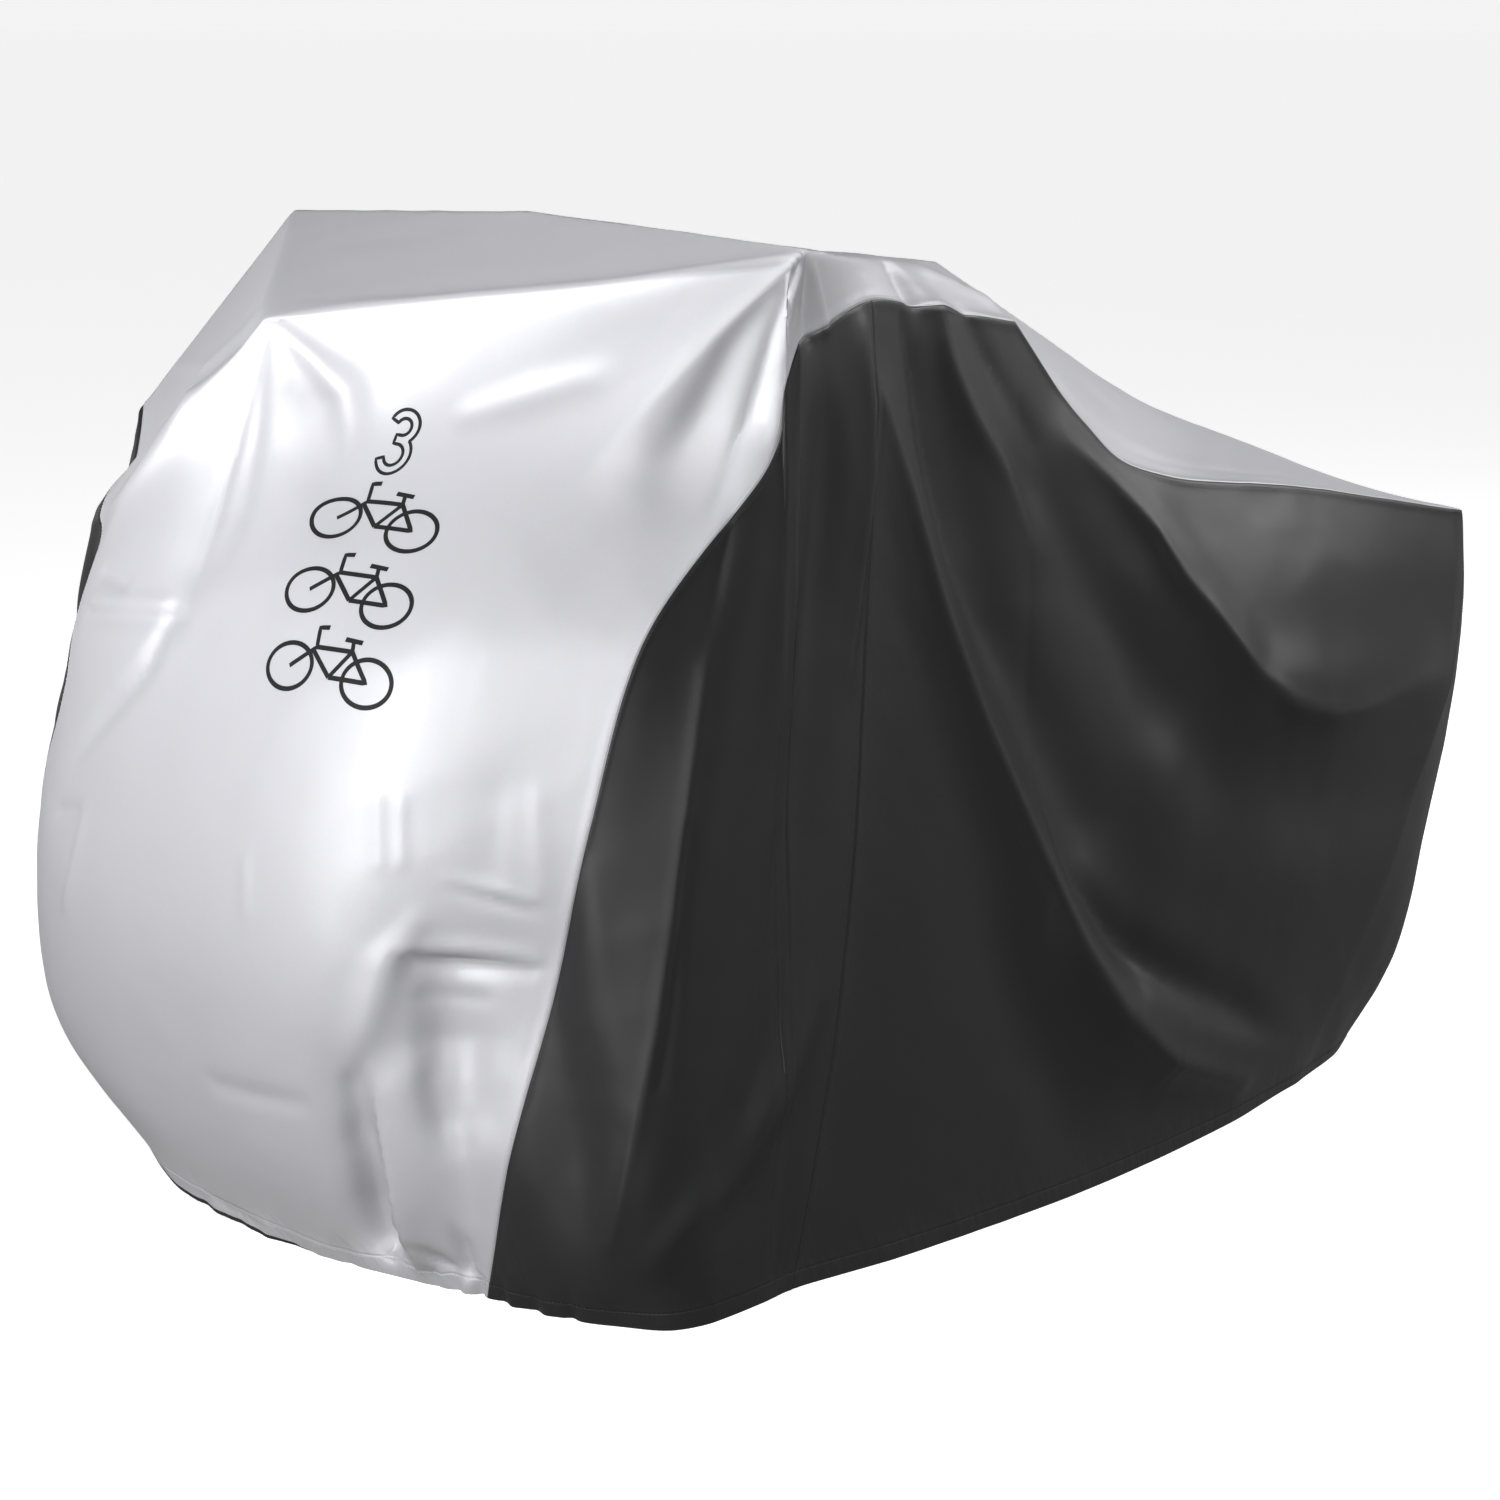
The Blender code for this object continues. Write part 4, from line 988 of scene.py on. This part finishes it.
@dataclass
class Stitching:
    """Lines of topstitching, made by Geometry Nodes along edges that lie on the cloth."""

    name: str
    slot: str
    pitch: float = 0.0048
    length: float = 0.0036
    thickness: float = 0.0006
    sides: int = 5
    rings: int = 4

    def build(self, lines: list[Array], finish: "GrainFinish") -> bpy.types.Object:
        """Makes one mesh of all the stitches.

        Args:
            lines: the lines that the stitches follow.
            finish: the thread's finish.

        Returns:
            The stitching's object.
        """
        host = in_scene(self.name + "_lines", self._line_mesh(lines))
        tree, sockets = self._tree(finish.make())
        modifier = host.modifiers.new("stitches", "NODES")
        modifier.node_group = tree
        for size, socket in sockets.items():
            modifier[socket.identifier] = getattr(self, size)
        graph = bpy.context.evaluated_depsgraph_get()
        mesh = bpy.data.meshes.new_from_object(host.evaluated_get(graph))
        bpy.data.objects.remove(host)
        mesh.name = self.name
        stitches = in_scene(self.name, mesh)
        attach(stitches, "root")
        return stitches

    def _line_mesh(self, lines: list[Array]) -> bpy.types.Mesh:
        """A mesh of edges along the lines."""
        starts = np.cumsum([0] + [len(line) for line in lines])
        edges = [
            (place, place + 1)
            for start, end in zip(starts[:-1], starts[1:])
            for place in range(start, end - 1)
        ]
        mesh = bpy.data.meshes.new(self.name + "_lines")
        mesh.from_pydata(np.concatenate(lines).tolist(), edges, [])
        return mesh

    def _tree(self, material: bpy.types.Material) -> tuple[bpy.types.NodeTree, dict]:
        """The node tree that sets a stitch at each pitch of the lines.

        Args:
            material: the thread's material.

        Returns:
            The tree and its input sockets, by the size that each takes.
        """
        tree = bpy.data.node_groups.new(self.name, "GeometryNodeTree")
        faces = tree.interface
        for way in ("INPUT", "OUTPUT"):
            faces.new_socket("Geometry", in_out=way, socket_type="NodeSocketGeometry")
        sockets = {
            size: faces.new_socket(size, in_out="INPUT", socket_type="NodeSocketFloat")
            for size in ("pitch", "length", "thickness")
        }
        pad = NodePad(tree)
        given = pad.node("NodeGroupInput").outputs
        curve = pad.node("GeometryNodeMeshToCurve", {}, {"Mesh": given["Geometry"]}).outputs["Curve"]
        spaced = pad.node(
            "GeometryNodeCurveToPoints", {"mode": "LENGTH"}, {"Curve": curve, "Length": given["pitch"]}
        ).outputs
        ball = {"Segments": self.sides, "Rings": self.rings, "Radius": 0.5}  # one unit across
        scale = {"X": given["thickness"], "Y": given["thickness"], "Z": given["length"]}
        sewn = {
            "Points": spaced["Points"],
            "Instance": pad.node("GeometryNodeMeshUVSphere", {}, ball).outputs["Mesh"],
            "Rotation": spaced["Rotation"],
            "Scale": pad.node("ShaderNodeCombineXYZ", {}, scale).outputs["Vector"],
        }
        stitches = pad.node("GeometryNodeInstanceOnPoints", {}, sewn).outputs["Instances"]
        real = pad.node("GeometryNodeRealizeInstances", {}, {"Geometry": stitches}).outputs["Geometry"]
        dressed = pad.node("GeometryNodeSetMaterial", {}, {"Geometry": real, "Material": material})
        pad.node("NodeGroupOutput", {}, {"Geometry": dressed.outputs["Geometry"]})
        return tree, sockets


@dataclass
class PrintedMark:
    """The capacity mark on the silver front: a plain outlined figure over bicycle signs.

    The signs are of plain strokes, in units of a wheel's radius from the front wheel's hub. The
    spots are where the middles of the figure and the signs lie in the photo, and the level runs
    between two places there.
    """

    wheel_radius: float = 0.0335
    hub_spacing: float = 3.45
    bicycle_line_width: float = 0.0054
    figure_line_width: float = 0.0040
    bicycle_height_share: float = 0.76  # the signs are printed wider than they are high
    ink_thickness: float = 0.0002
    figure_half_stroke: float = 0.0052
    figure_upper_radius: float = 0.0150
    figure_lower_radius: float = 0.0180
    figure_end_degrees: float = 160.0  # how far round from its right each bowl runs
    figure_bar_share: float = 0.35  # how far left of its middle the figure's notch begins
    step: float = 0.004
    probe_height: float = 0.08  # from here each point is dropped onto the cloth
    level: tuple[PhotoPlace, PhotoPlace] = ((304, 590), (386, 608))
    figure_spot: PhotoPlace = (399, 441)
    bicycle_spots: tuple[PhotoPlace, ...] = ((377, 517), (351, 590), (329, 666))

    def bicycle(self) -> list[Array]:
        """The strokes of one bicycle sign, about its middle."""
        radius, rear = self.wheel_radius, self.hub_spacing
        turn = np.linspace(0.0, 2 * math.pi, 41)
        wheel = np.stack([np.cos(turn), np.sin(turn)], axis=1)
        head, crank, seat = (0.92, 1.02), (rear * 0.54, -0.12), (rear * 0.72, 1.14)
        frame_and_bars = (
            ((0.0, 0.0), head, (0.74, 1.86), (1.14, 1.94)),
            (head, seat),
            (crank, (0.84, 0.84)),
            (crank, seat, (rear * 0.69, 1.56)),
            (crank, (rear, 0.0), seat),
            ((rear * 0.58, 1.60), (rear * 0.80, 1.60)),
        )
        strokes = [wheel, wheel + (rear, 0.0), *(np.array(stroke) for stroke in frame_and_bars)]
        middle = np.array((rear / 2, 0.35))
        return [(stroke - middle) * (radius, radius * self.bicycle_height_share) for stroke in strokes]

    def figure(self) -> list[Array]:
        """The outline of a plain figure 3, about its middle."""
        half, end = self.figure_half_stroke, self.figure_end_degrees
        upper, lower = self.figure_upper_radius, self.figure_lower_radius
        rise = upper + lower
        outer_upper, outer_lower = upper + half, lower + half
        notch_height = (rise**2 + outer_lower**2 - outer_upper**2) / (2 * rise)
        notch = math.sqrt(outer_lower**2 - notch_height**2)
        from_upper = math.degrees(math.atan2(notch_height - rise, notch))
        from_lower = math.degrees(math.atan2(notch_height, notch))
        bar = -self.figure_bar_share * lower
        points = np.concatenate([
            arc((0.0, rise), outer_upper, from_upper, end),
            arc((0.0, rise), upper - half, end, -90.0),
            np.array(((bar, rise - upper + half), (bar, lower - half))),
            arc((0.0, 0.0), lower - half, 90.0, -end),
            arc((0.0, 0.0), outer_lower, -end, from_lower),
        ])
        return [np.concatenate([points, points[:1]]) - np.array((0.0, rise / 2))]

    def build(self, sheet: DrapedSheet, camera: PhotoCamera, finish: "GrainFinish") -> bpy.types.Object:
        """Lays the mark's strokes on the cloth as thin closed ribbons of ink.

        Args:
            sheet: the whole cloth.
            camera: the photo's camera.
            finish: the ink's finish.

        Returns:
            The mark's object.
        """
        cloth = face_tree(outer_face(sheet))
        left, right = (camera.hit(cloth, place)[0] for place in self.level)
        level = (right - left).normalized()
        signs = [(self.figure_spot, self.figure(), self.figure_line_width)]
        signs += [(spot, self.bicycle(), self.bicycle_line_width) for spot in self.bicycle_spots]
        points, polygons = [], []
        for spot, strokes, width in signs:
            middle, outward = camera.hit(cloth, spot)
            outward = (outward - level * outward.dot(level)).normalized()
            axes = (middle, level, outward.cross(level), outward)
            for stroke in strokes:
                self._ribbon(stroke, width, axes, cloth, points, polygons)
        mesh = bpy.data.meshes.new("printed_mark")
        mesh.from_pydata(points, [], polygons)
        mesh.materials.append(finish.make())
        mark = in_scene("printed_mark", mesh)
        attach(mark, "root")
        return mark

    def _ribbon(
        self, stroke: Array, width: float, axes: tuple, cloth: BVHTree, points: list, polygons: list
    ) -> None:
        """Adds one stroke's ribbon.

        Args:
            stroke: the stroke's points, on the flat mark.
            width: the ribbon's width.
            axes: the mark's middle on the cloth, and its level, upward and outward directions.
            cloth: the cloth's outer faces.
            points: the mark's points; they are added to.
            polygons: the mark's faces; they are added to.
        """
        middle, level, upward, outward = axes
        line = with_steps(stroke, self.step)
        closed = np.linalg.norm(line[0] - line[-1]) < 1e-6
        before, after = (line[-2], line[1]) if closed else (line[0], line[-1])
        run = unit(np.concatenate([line[1:], [after]]) - np.concatenate([[before], line[:-1]]))
        square = np.stack([-run[:, 1], run[:, 0]], axis=1) * width / 2
        first = len(points)
        for place, side in zip(line, square):
            for lift in (self.ink_thickness, -self.ink_thickness / 2):
                for sign in (1.0, -1.0):
                    across, rise = place + side * sign
                    flat = middle + level * across + upward * rise
                    spot = cloth.ray_cast(flat + outward * self.probe_height, -outward)[0] or flat
                    points.append(tuple(spot + outward * lift))
        last = first + 4 * (len(line) - 1)
        for here in range(first, last, 4):
            for one, other in ((0, 1), (3, 2), (1, 3), (2, 0)):
                polygons.append((here + one, here + other, here + 4 + other, here + 4 + one))
        polygons.append((first, first + 2, first + 3, first + 1))
        polygons.append((last + 1, last + 3, last + 2, last))


def arc(centre: tuple[float, float], radius: float, start: float, end: float) -> Array:
    """Points about 9 degrees apart on an arc from one angle to another, in degrees."""
    turn = np.radians(np.linspace(start, end, max(3, round(abs(end - start) / 9))))
    return np.stack([centre[0] + radius * np.cos(turn), centre[1] + radius * np.sin(turn)], axis=1)


def with_steps(line: Array, step: float) -> Array:
    """A line with points added so that none are further apart than the step."""
    pieces = []
    for start, end in zip(line[:-1], line[1:]):
        count = max(1, math.ceil(float(np.linalg.norm(end - start)) / step))
        pieces.append(start + (end - start) * (np.arange(count) / count)[:, None])
    return np.concatenate([*pieces, line[-1:]])


class Term:
    """A number that varies over a surface. Sums and products of it become Math nodes."""

    def __init__(self, pad: "NodePad", socket: Socket) -> None:
        """Wraps a socket of a pad's tree."""
        self.pad = pad
        self.socket = socket

    def _by(self, operation: str, *values: "Term | float") -> "Term":
        """A Math node of this term and others."""
        terms = dict(enumerate((self, *values)))
        return Term(self.pad, self.pad.node("ShaderNodeMath", {"operation": operation}, terms).outputs[0])

    def __add__(self, other: "Term | float") -> "Term":
        """The sum."""
        return self._by("ADD", other)

    def __sub__(self, other: "Term | float") -> "Term":
        """The difference."""
        return self._by("SUBTRACT", other)

    def __mul__(self, other: "Term | float") -> "Term":
        """The product."""
        return self._by("MULTIPLY", other)

    def sine(self) -> "Term":
        """The sine."""
        return self._by("SINE")

    def size(self) -> "Term":
        """The number without its sign."""
        return self._by("ABSOLUTE")

    def mapped(
        self, start: float, end: float, first: float, last: float, way: str = "SMOOTHSTEP"
    ) -> "Term":
        """From first where the term is at its start to last at its end, and no further."""
        inputs = {"Value": self, "From Min": start, "From Max": end, "To Min": first, "To Max": last}
        node = self.pad.node("ShaderNodeMapRange", {"interpolation_type": way}, inputs)
        return Term(self.pad, node.outputs["Result"])

    def fall(self, reach: float) -> "Term":
        """1 where the term is 0, falling smoothly to 0 at the reach."""
        return self.mapped(0.0, reach, 1.0, 0.0)


class NodePad:
    """A node tree, round a shader where it has one, with every node made by one method."""

    def __init__(self, tree: bpy.types.NodeTree, shader: str = "Principled BSDF") -> None:
        """Takes up a tree and its shader, if it has one of that name."""
        self.tree = tree
        self.shader = tree.nodes.get(shader)

    def node(self, kind: str, settings: dict | None = None, inputs: dict | None = None) -> bpy.types.Node:
        """A node of a kind.

        Args:
            kind: the node's type.
            settings: its properties, which are set first.
            inputs: values or links for its sockets, by name or number.

        Returns:
            The node.
        """
        made = self.tree.nodes.new(kind)
        for setting, value in (settings or {}).items():
            setattr(made, setting, value)
        for socket, value in (inputs or {}).items():
            self.fill(made.inputs[socket], value)
        return made

    def fill(self, socket: Socket, value: object) -> None:
        """Gives a socket a term, another socket's link or a plain value."""
        source = value.socket if isinstance(value, Term) else value
        if isinstance(source, Socket):
            self.tree.links.new(source, socket)
        else:
            socket.default_value = source

    def part(self, place: Socket, axis: str) -> Term:
        """One coordinate of a place."""
        return Term(self, self.node("ShaderNodeSeparateXYZ", {}, {"Vector": place}).outputs[axis])

    def attribute(self, name: str) -> Term:
        """A number that the mesh holds at each point."""
        node = self.node("ShaderNodeAttribute", {"attribute_name": name, "attribute_type": "GEOMETRY"})
        return Term(self, node.outputs["Fac"])

    def noise(
        self, scale: float, detail: float = 2.0, place: Socket | None = None, roughness: float = 0.5
    ) -> Term:
        """Noise about 0, on the object's own coordinates unless a place is given."""
        if place is None:
            place = self.node("ShaderNodeTexCoord").outputs["Object"]
        inputs = {"Vector": place, "Scale": scale, "Detail": detail, "Roughness": roughness}
        return Term(self, self.node("ShaderNodeTexNoise", {}, inputs).outputs["Fac"]) - 0.5

    def streaks(self, detail: float, across: Term, along: Term) -> Term:
        """Noise about 0 over two numbers that have been scaled already."""
        place = self.node("ShaderNodeCombineXYZ", {}, {"X": across, "Y": along}).outputs[0]
        return self.noise(1.0, detail, place)

    def blend(self, first: Colour | Socket, second: Colour, share: Term) -> Socket:
        """A colour between two, by a share from 0 to 1."""
        start = first if isinstance(first, Socket) else (*first, 1.0)
        settings = {"data_type": "RGBA", "clamp_factor": True}
        return self.node("ShaderNodeMix", settings, {0: share, 6: start, 7: (*second, 1.0)}).outputs[2]

    def bump(self, height_mm: Term) -> None:
        """Gives the shader a height over its surface, in millimetres."""
        inputs = {"Strength": 1.0, "Distance": 0.001, "Height": height_mm}
        self.fill(self.shader.inputs["Normal"], self.node("ShaderNodeBump", {}, inputs).outputs["Normal"])

    def set(self, **values: object) -> None:
        """Gives the shader's sockets values or links, by their names with underscores."""
        for name, value in values.items():
            self.fill(self.shader.inputs[name.replace("_", " ")], value)


def new_material(name: str) -> tuple[bpy.types.Material, NodePad]:
    """A material of that name and a pad of its nodes."""
    material = bpy.data.materials.new(name)
    material.use_nodes = True
    return material, NodePad(material.node_tree)


@dataclass(frozen=True)
class ClothFinish:
    """A coated plain-weave cloth with puckered seams, a gathered hem and soft crumples.

    Reaches are in metres from a seam or the hem, heights in millimetres, and scales in waves of
    noise a metre, the streaks' first along the seam or hem and then away from it.
    """

    name: str
    light: Colour
    dark: Colour
    dusty: Colour
    metallic: float
    roughness: float
    specular: float
    thread_pitch: float
    crumple_mm: float
    roughness_spread: float = 0.12
    weave_mm: float = 0.03
    grain_mm: float = 0.045
    gather_mm: float = 1.6
    gather_reach: float = 0.075
    gather_scales: tuple[float, float] = (62.0, 9.0)
    pucker_mm: float = 0.5
    pucker_reach: float = 0.022
    pucker_scales: tuple[float, float] = (75.0, 16.0)
    seam_groove: tuple[float, float] = (0.0024, -0.8)  # its reach and its height
    stitch_groove: tuple[float, float] = (0.0022, -0.45)
    crumple_scale: float = 11.0
    grain_scale: float = 420.0
    cloud_scale: float = 2.4
    dust_scale: float = 9.0
    dust_height: float = 0.10
    dust_at_foot: float = 0.35
    dust_in_seams: float = 0.35
    dusty_seam: float = 0.004
    cloud_contrast: float = 1.5
    grain_contrast: float = 0.5
    weave_contrast: float = 0.12
    grain_roughness: float = 0.08
    dust_share: float = 0.6

    def make(self) -> bpy.types.Material:
        """The cloth's material, one for all panels of that cloth."""
        found = bpy.data.materials.get(self.name)
        if found:
            return found
        material, pad = new_material(self.name)
        flat = pad.node("ShaderNodeUVMap", {"uv_map": "cloth"}).outputs["UV"]
        across, along = pad.part(flat, "X"), pad.part(flat, "Y")
        threads = math.pi / self.thread_pitch
        weave = (across * threads).sine() * (along * threads).sine()
        seam, hem, hem_run = (pad.attribute(name) for name in ("seam", "hem", "hem_run"))
        (gather_run, gather_rise), (pucker_run, pucker_rise) = self.gather_scales, self.pucker_scales
        gathers = pad.streaks(3.0, hem_run * gather_run, hem * gather_rise) * hem.fall(self.gather_reach)
        puckers = pad.streaks(2.0, along * pucker_run, across * pucker_rise) * seam.fall(self.pucker_reach)
        groove = seam.fall(self.seam_groove[0]) * self.seam_groove[1]
        groove += (hem - STITCH_LINE).size().fall(self.stitch_groove[0]) * self.stitch_groove[1]
        crumples = pad.noise(self.crumple_scale, 4.0, None, 0.55).size() * self.crumple_mm
        grain = pad.noise(self.grain_scale)
        cloudy = pad.noise(self.cloud_scale, 3.0)
        height = weave * self.weave_mm + gathers * self.gather_mm + puckers * self.pucker_mm
        pad.bump(height + groove + crumples + grain * self.grain_mm)
        shade = cloudy * self.cloud_contrast + grain * self.grain_contrast + weave * self.weave_contrast
        cloth = pad.blend(self.dark, self.light, shade + 0.5)
        low = pad.part(pad.node("ShaderNodeTexCoord").outputs["Object"], "Z").fall(self.dust_height)
        dust = low * (pad.noise(self.dust_scale, 4.0) + self.dust_at_foot)
        dust += seam.fall(self.dusty_seam) * self.dust_in_seams
        pad.set(
            Base_Color=pad.blend(cloth, self.dusty, dust * self.dust_share),
            Metallic=self.metallic,
            Roughness=cloudy * self.roughness_spread + grain * self.grain_roughness + self.roughness,
            Specular_IOR_Level=self.specular,
        )
        return material


@dataclass(frozen=True)
class GrainFinish:
    """An even finish of one fine grain, with ribs along the hem where it has a rib pitch."""

    name: str
    light: Colour
    dark: Colour
    grain_scale: float
    grain_detail: float
    grain_mm: float
    contrast: float
    roughness: float
    roughness_spread: float
    specular: float = 0.5
    rib_pitch: float = 0.0
    rib_mm: float = 0.12
    rib_contrast: float = 0.3

    def make(self) -> bpy.types.Material:
        """The finish's material."""
        material, pad = new_material(self.name)
        grain = pad.noise(self.grain_scale, self.grain_detail)
        height, shade = grain * self.grain_mm, grain * self.contrast + 0.5
        if self.rib_pitch:
            ribs = (pad.attribute("hem_run") * (2 * math.pi / self.rib_pitch)).sine()
            height, shade = height + ribs * self.rib_mm, shade + ribs * self.rib_contrast
        pad.bump(height)
        pad.set(
            Base_Color=pad.blend(self.dark, self.light, shade),
            Roughness=grain * self.roughness_spread + self.roughness,
            Specular_IOR_Level=self.specular,
        )
        return material


@dataclass(frozen=True)
class Lamp:
    """A soft disk of light, with its power in watts. A narrow spread keeps its light near its aim."""

    name: str
    place: Place
    target: Place
    size: float
    power: float
    spread_degrees: float = 180.0

    def build(self) -> None:
        """Hangs the lamp and aims it."""
        data = bpy.data.lights.new(self.name, "AREA")
        data.shape = "DISK"
        data.size = self.size
        data.energy = self.power
        data.spread = math.radians(self.spread_degrees)
        lamp = in_scene(self.name, data)
        lamp.location = self.place
        aim = Vector(self.target) - Vector(self.place)
        lamp.rotation_euler = aim.to_track_quat("-Z", "Y").to_euler()


@dataclass
class Studio:
    """A pale floor that glows, a bright surround under a dim ceiling, and soft lamps.

    The key light stands before the front on the left, the side light behind the camera, and the top
    light high behind on the right. The low light is faint and fills the foot of the front. A fade
    runs between two upward shares of a direction.
    """

    floor_size: float = 3000.0
    floor_colour: float = 0.60
    floor_roughness: float = 0.9
    floor_glow: float = 0.80
    underside: float = 0.30
    surround: float = 0.90
    ceiling: float = 0.12
    ceiling_fade: tuple[float, float] = (0.02, 0.20)
    underside_fade: tuple[float, float] = (-0.06, -0.03)
    lamps: tuple[Lamp, ...] = (
        Lamp("key_light", (-0.7, -4.9, 2.0), (-0.05, -0.7, 1.15), 0.9, 20.0, 48.0),
        Lamp("low_light", (2.8, -4.0, 0.8), (0.1, -0.85, 0.15), 0.5, 0.4, 50.0),
        Lamp("side_light", (3.6, -4.6, 3.4), (0.6, 0.1, 0.5), 1.0, 170.0),
        Lamp("top_light", (1.6, 3.2, 3.4), (0.1, 0.3, 0.6), 2.0, 165.0),
    )

    def build(self) -> None:
        """Makes the floor, the world and the lamps."""
        bpy.context.scene.view_settings.view_transform = "Standard"
        self._build_floor()
        bpy.context.scene.world = self._surround_world()
        for lamp in self.lamps:
            lamp.build()

    def _build_floor(self) -> None:
        """Makes the floor, with its top at the ground. The world below it lights the cover in its place."""
        half = self.floor_size / 2
        mesh = bpy.data.meshes.new("studio_floor")
        corners = [(-half, -half, 0), (half, -half, 0), (half, half, 0), (-half, half, 0)]
        mesh.from_pydata(corners, [], [(0, 1, 2, 3)])
        material, pad = new_material("pale_floor")
        pad.set(
            Base_Color=(self.floor_colour, self.floor_colour, self.floor_colour, 1.0),
            Roughness=self.floor_roughness,
            Emission_Color=(1.0, 1.0, 1.0, 1.0),
            Emission_Strength=self.floor_glow,
        )
        mesh.materials.append(material)
        floor = in_scene("studio_floor", mesh)
        floor.visible_diffuse = False
        floor.visible_glossy = False

    def _surround_world(self) -> bpy.types.World:
        """A world that is bright along the horizon and dimmer overhead and below."""
        world = bpy.data.worlds.new("studio_surround")
        world.use_nodes = True
        pad = NodePad(world.node_tree, "Background")
        upward = pad.part(pad.node("ShaderNodeTexCoord").outputs["Generated"], "Z")
        above = upward.mapped(*self.ceiling_fade, self.surround, self.ceiling)
        below = upward.mapped(*self.underside_fade, self.underside / self.surround, 1.0, "LINEAR")
        pad.set(Strength=above * below, Color=(1.0, 1.0, 1.0, 1.0))
        return world


PANELS = (  # each with its flat size and area, in metres and square metres
    ClothPanel("silver_cloth_panel", "silver_panel", "silver_cloth", "silver", "whole", (1.15, 3.75), 3.30),
    *(
        ClothPanel(f"{side}_{part}_cloth_panel", f"{side}_{part}_panel", "black_cloth", side, part, *sizes)
        for side, part, *sizes in (
            ("near", "front", (0.75, 1.10), 0.42),
            ("near", "rear", (1.25, 1.10), 1.15),
            ("far", "front", (0.75, 1.10), 0.45),
            ("far", "rear", (1.25, 1.10), 0.92),
        )
    ),
)
SILVER_CLOTH = ClothFinish(
    "silver_coated_cloth", (0.45, 0.45, 0.475), (0.40, 0.40, 0.425), (0.32, 0.315, 0.31),
    0.15, 0.45, 0.5, 0.0006, 0.5,
)
BLACK_CLOTH = ClothFinish(
    "black_coated_cloth", (0.018, 0.018, 0.019), (0.013, 0.013, 0.014), (0.020, 0.019, 0.018),
    0.0, 0.44, 0.26, 0.0007, 0.45,
)
SILVER_THREAD = GrainFinish(
    "silver_sewing_thread", (0.55, 0.55, 0.58), (0.42, 0.42, 0.45), 1500.0, 1.0, 0.08, 1.0, 0.55, 0.2
)
BLACK_THREAD = GrainFinish(
    "black_sewing_thread", (0.030, 0.030, 0.032), (0.014, 0.014, 0.015), 1500.0, 1.0, 0.08, 1.0, 0.55, 0.2
)
# The elastic's own black. Its strip below the hem also stands in as painted shade under the hem.
BLACK_ELASTIC = GrainFinish(
    "black_ribbed_elastic", (0.020, 0.020, 0.021), (0.008, 0.008, 0.009), 700.0, 2.0, 0.10, 1.0, 0.85, 0.1,
    rib_pitch=0.0014,
)
BLACK_INK = GrainFinish(
    "black_printing_ink", (0.014, 0.014, 0.015), (0.008, 0.008, 0.009), 260.0, 4.0, 0.05, 1.6, 0.6, 0.2,
    specular=0.15,
)


def stitch_lines(sheet: DrapedSheet) -> tuple[list[Array], list[Array]]:
    """The lines of stitches on the silver and on the black cloth.

    Args:
        sheet: the whole cloth.

    Returns:
        The silver's lines and the black's lines.
    """
    outer = outer_face(sheet) + sheet.normals * STITCH_LIFT
    aside, hem_column = 2, 5  # rows or columns from the seam, and from the hem
    hem_rows = [int(np.argmin(abs(sheet.rows - at))) for at in (STITCH_LINE, sheet.rows[-1] - STITCH_LINE)]
    left, right, row = sheet.silver.start, sheet.near.start, sheet.seam_row + aside
    # Each line stops a few rows or columns short of where it meets another.
    on_silver = [outer[2:-2, left + aside], outer[2:-2, right - aside]]
    on_silver += [outer[hem_row, left + 4 : right - 3] for hem_row in hem_rows]
    on_black = [outer[4:-4, right + aside], outer[4:-4, left - aside]]
    on_black += [outer[6:-6, -hem_column], outer[6:-6, hem_column - 1]]
    on_black += [outer[row, right + 4 : -4], outer[row, 4 : left - 4]]
    return on_silver, on_black


def main() -> None:
    """Builds the cover's pieces in order, and the studio round them."""
    logging.basicConfig(level=logging.INFO, format="%(message)s", stream=sys.stdout)
    camera = PhotoCamera()
    camera.place()
    Studio().build()
    sheet = DrapedSheet()
    sheet.build(camera)
    log.info("sheet of %d rows and %d columns", *sheet.points.shape[:2])
    pieces = [HemElastic().build(sheet, BLACK_ELASTIC)]
    for panel in PANELS:
        pieces.append(panel.build(sheet, SILVER_CLOTH if panel.slot == "silver_cloth" else BLACK_CLOTH))
    on_silver, on_black = stitch_lines(sheet)
    pieces.append(Stitching("silver_stitching", "silver_cloth").build(on_silver, SILVER_THREAD))
    pieces.append(Stitching("black_stitching", "black_cloth").build(on_black, BLACK_THREAD))
    pieces.append(PrintedMark().build(sheet, camera, BLACK_INK))
    for piece in pieces:
        log.info("%s: %d faces", piece.name, len(piece.data.polygons))


if __name__ == "__main__":
    main()
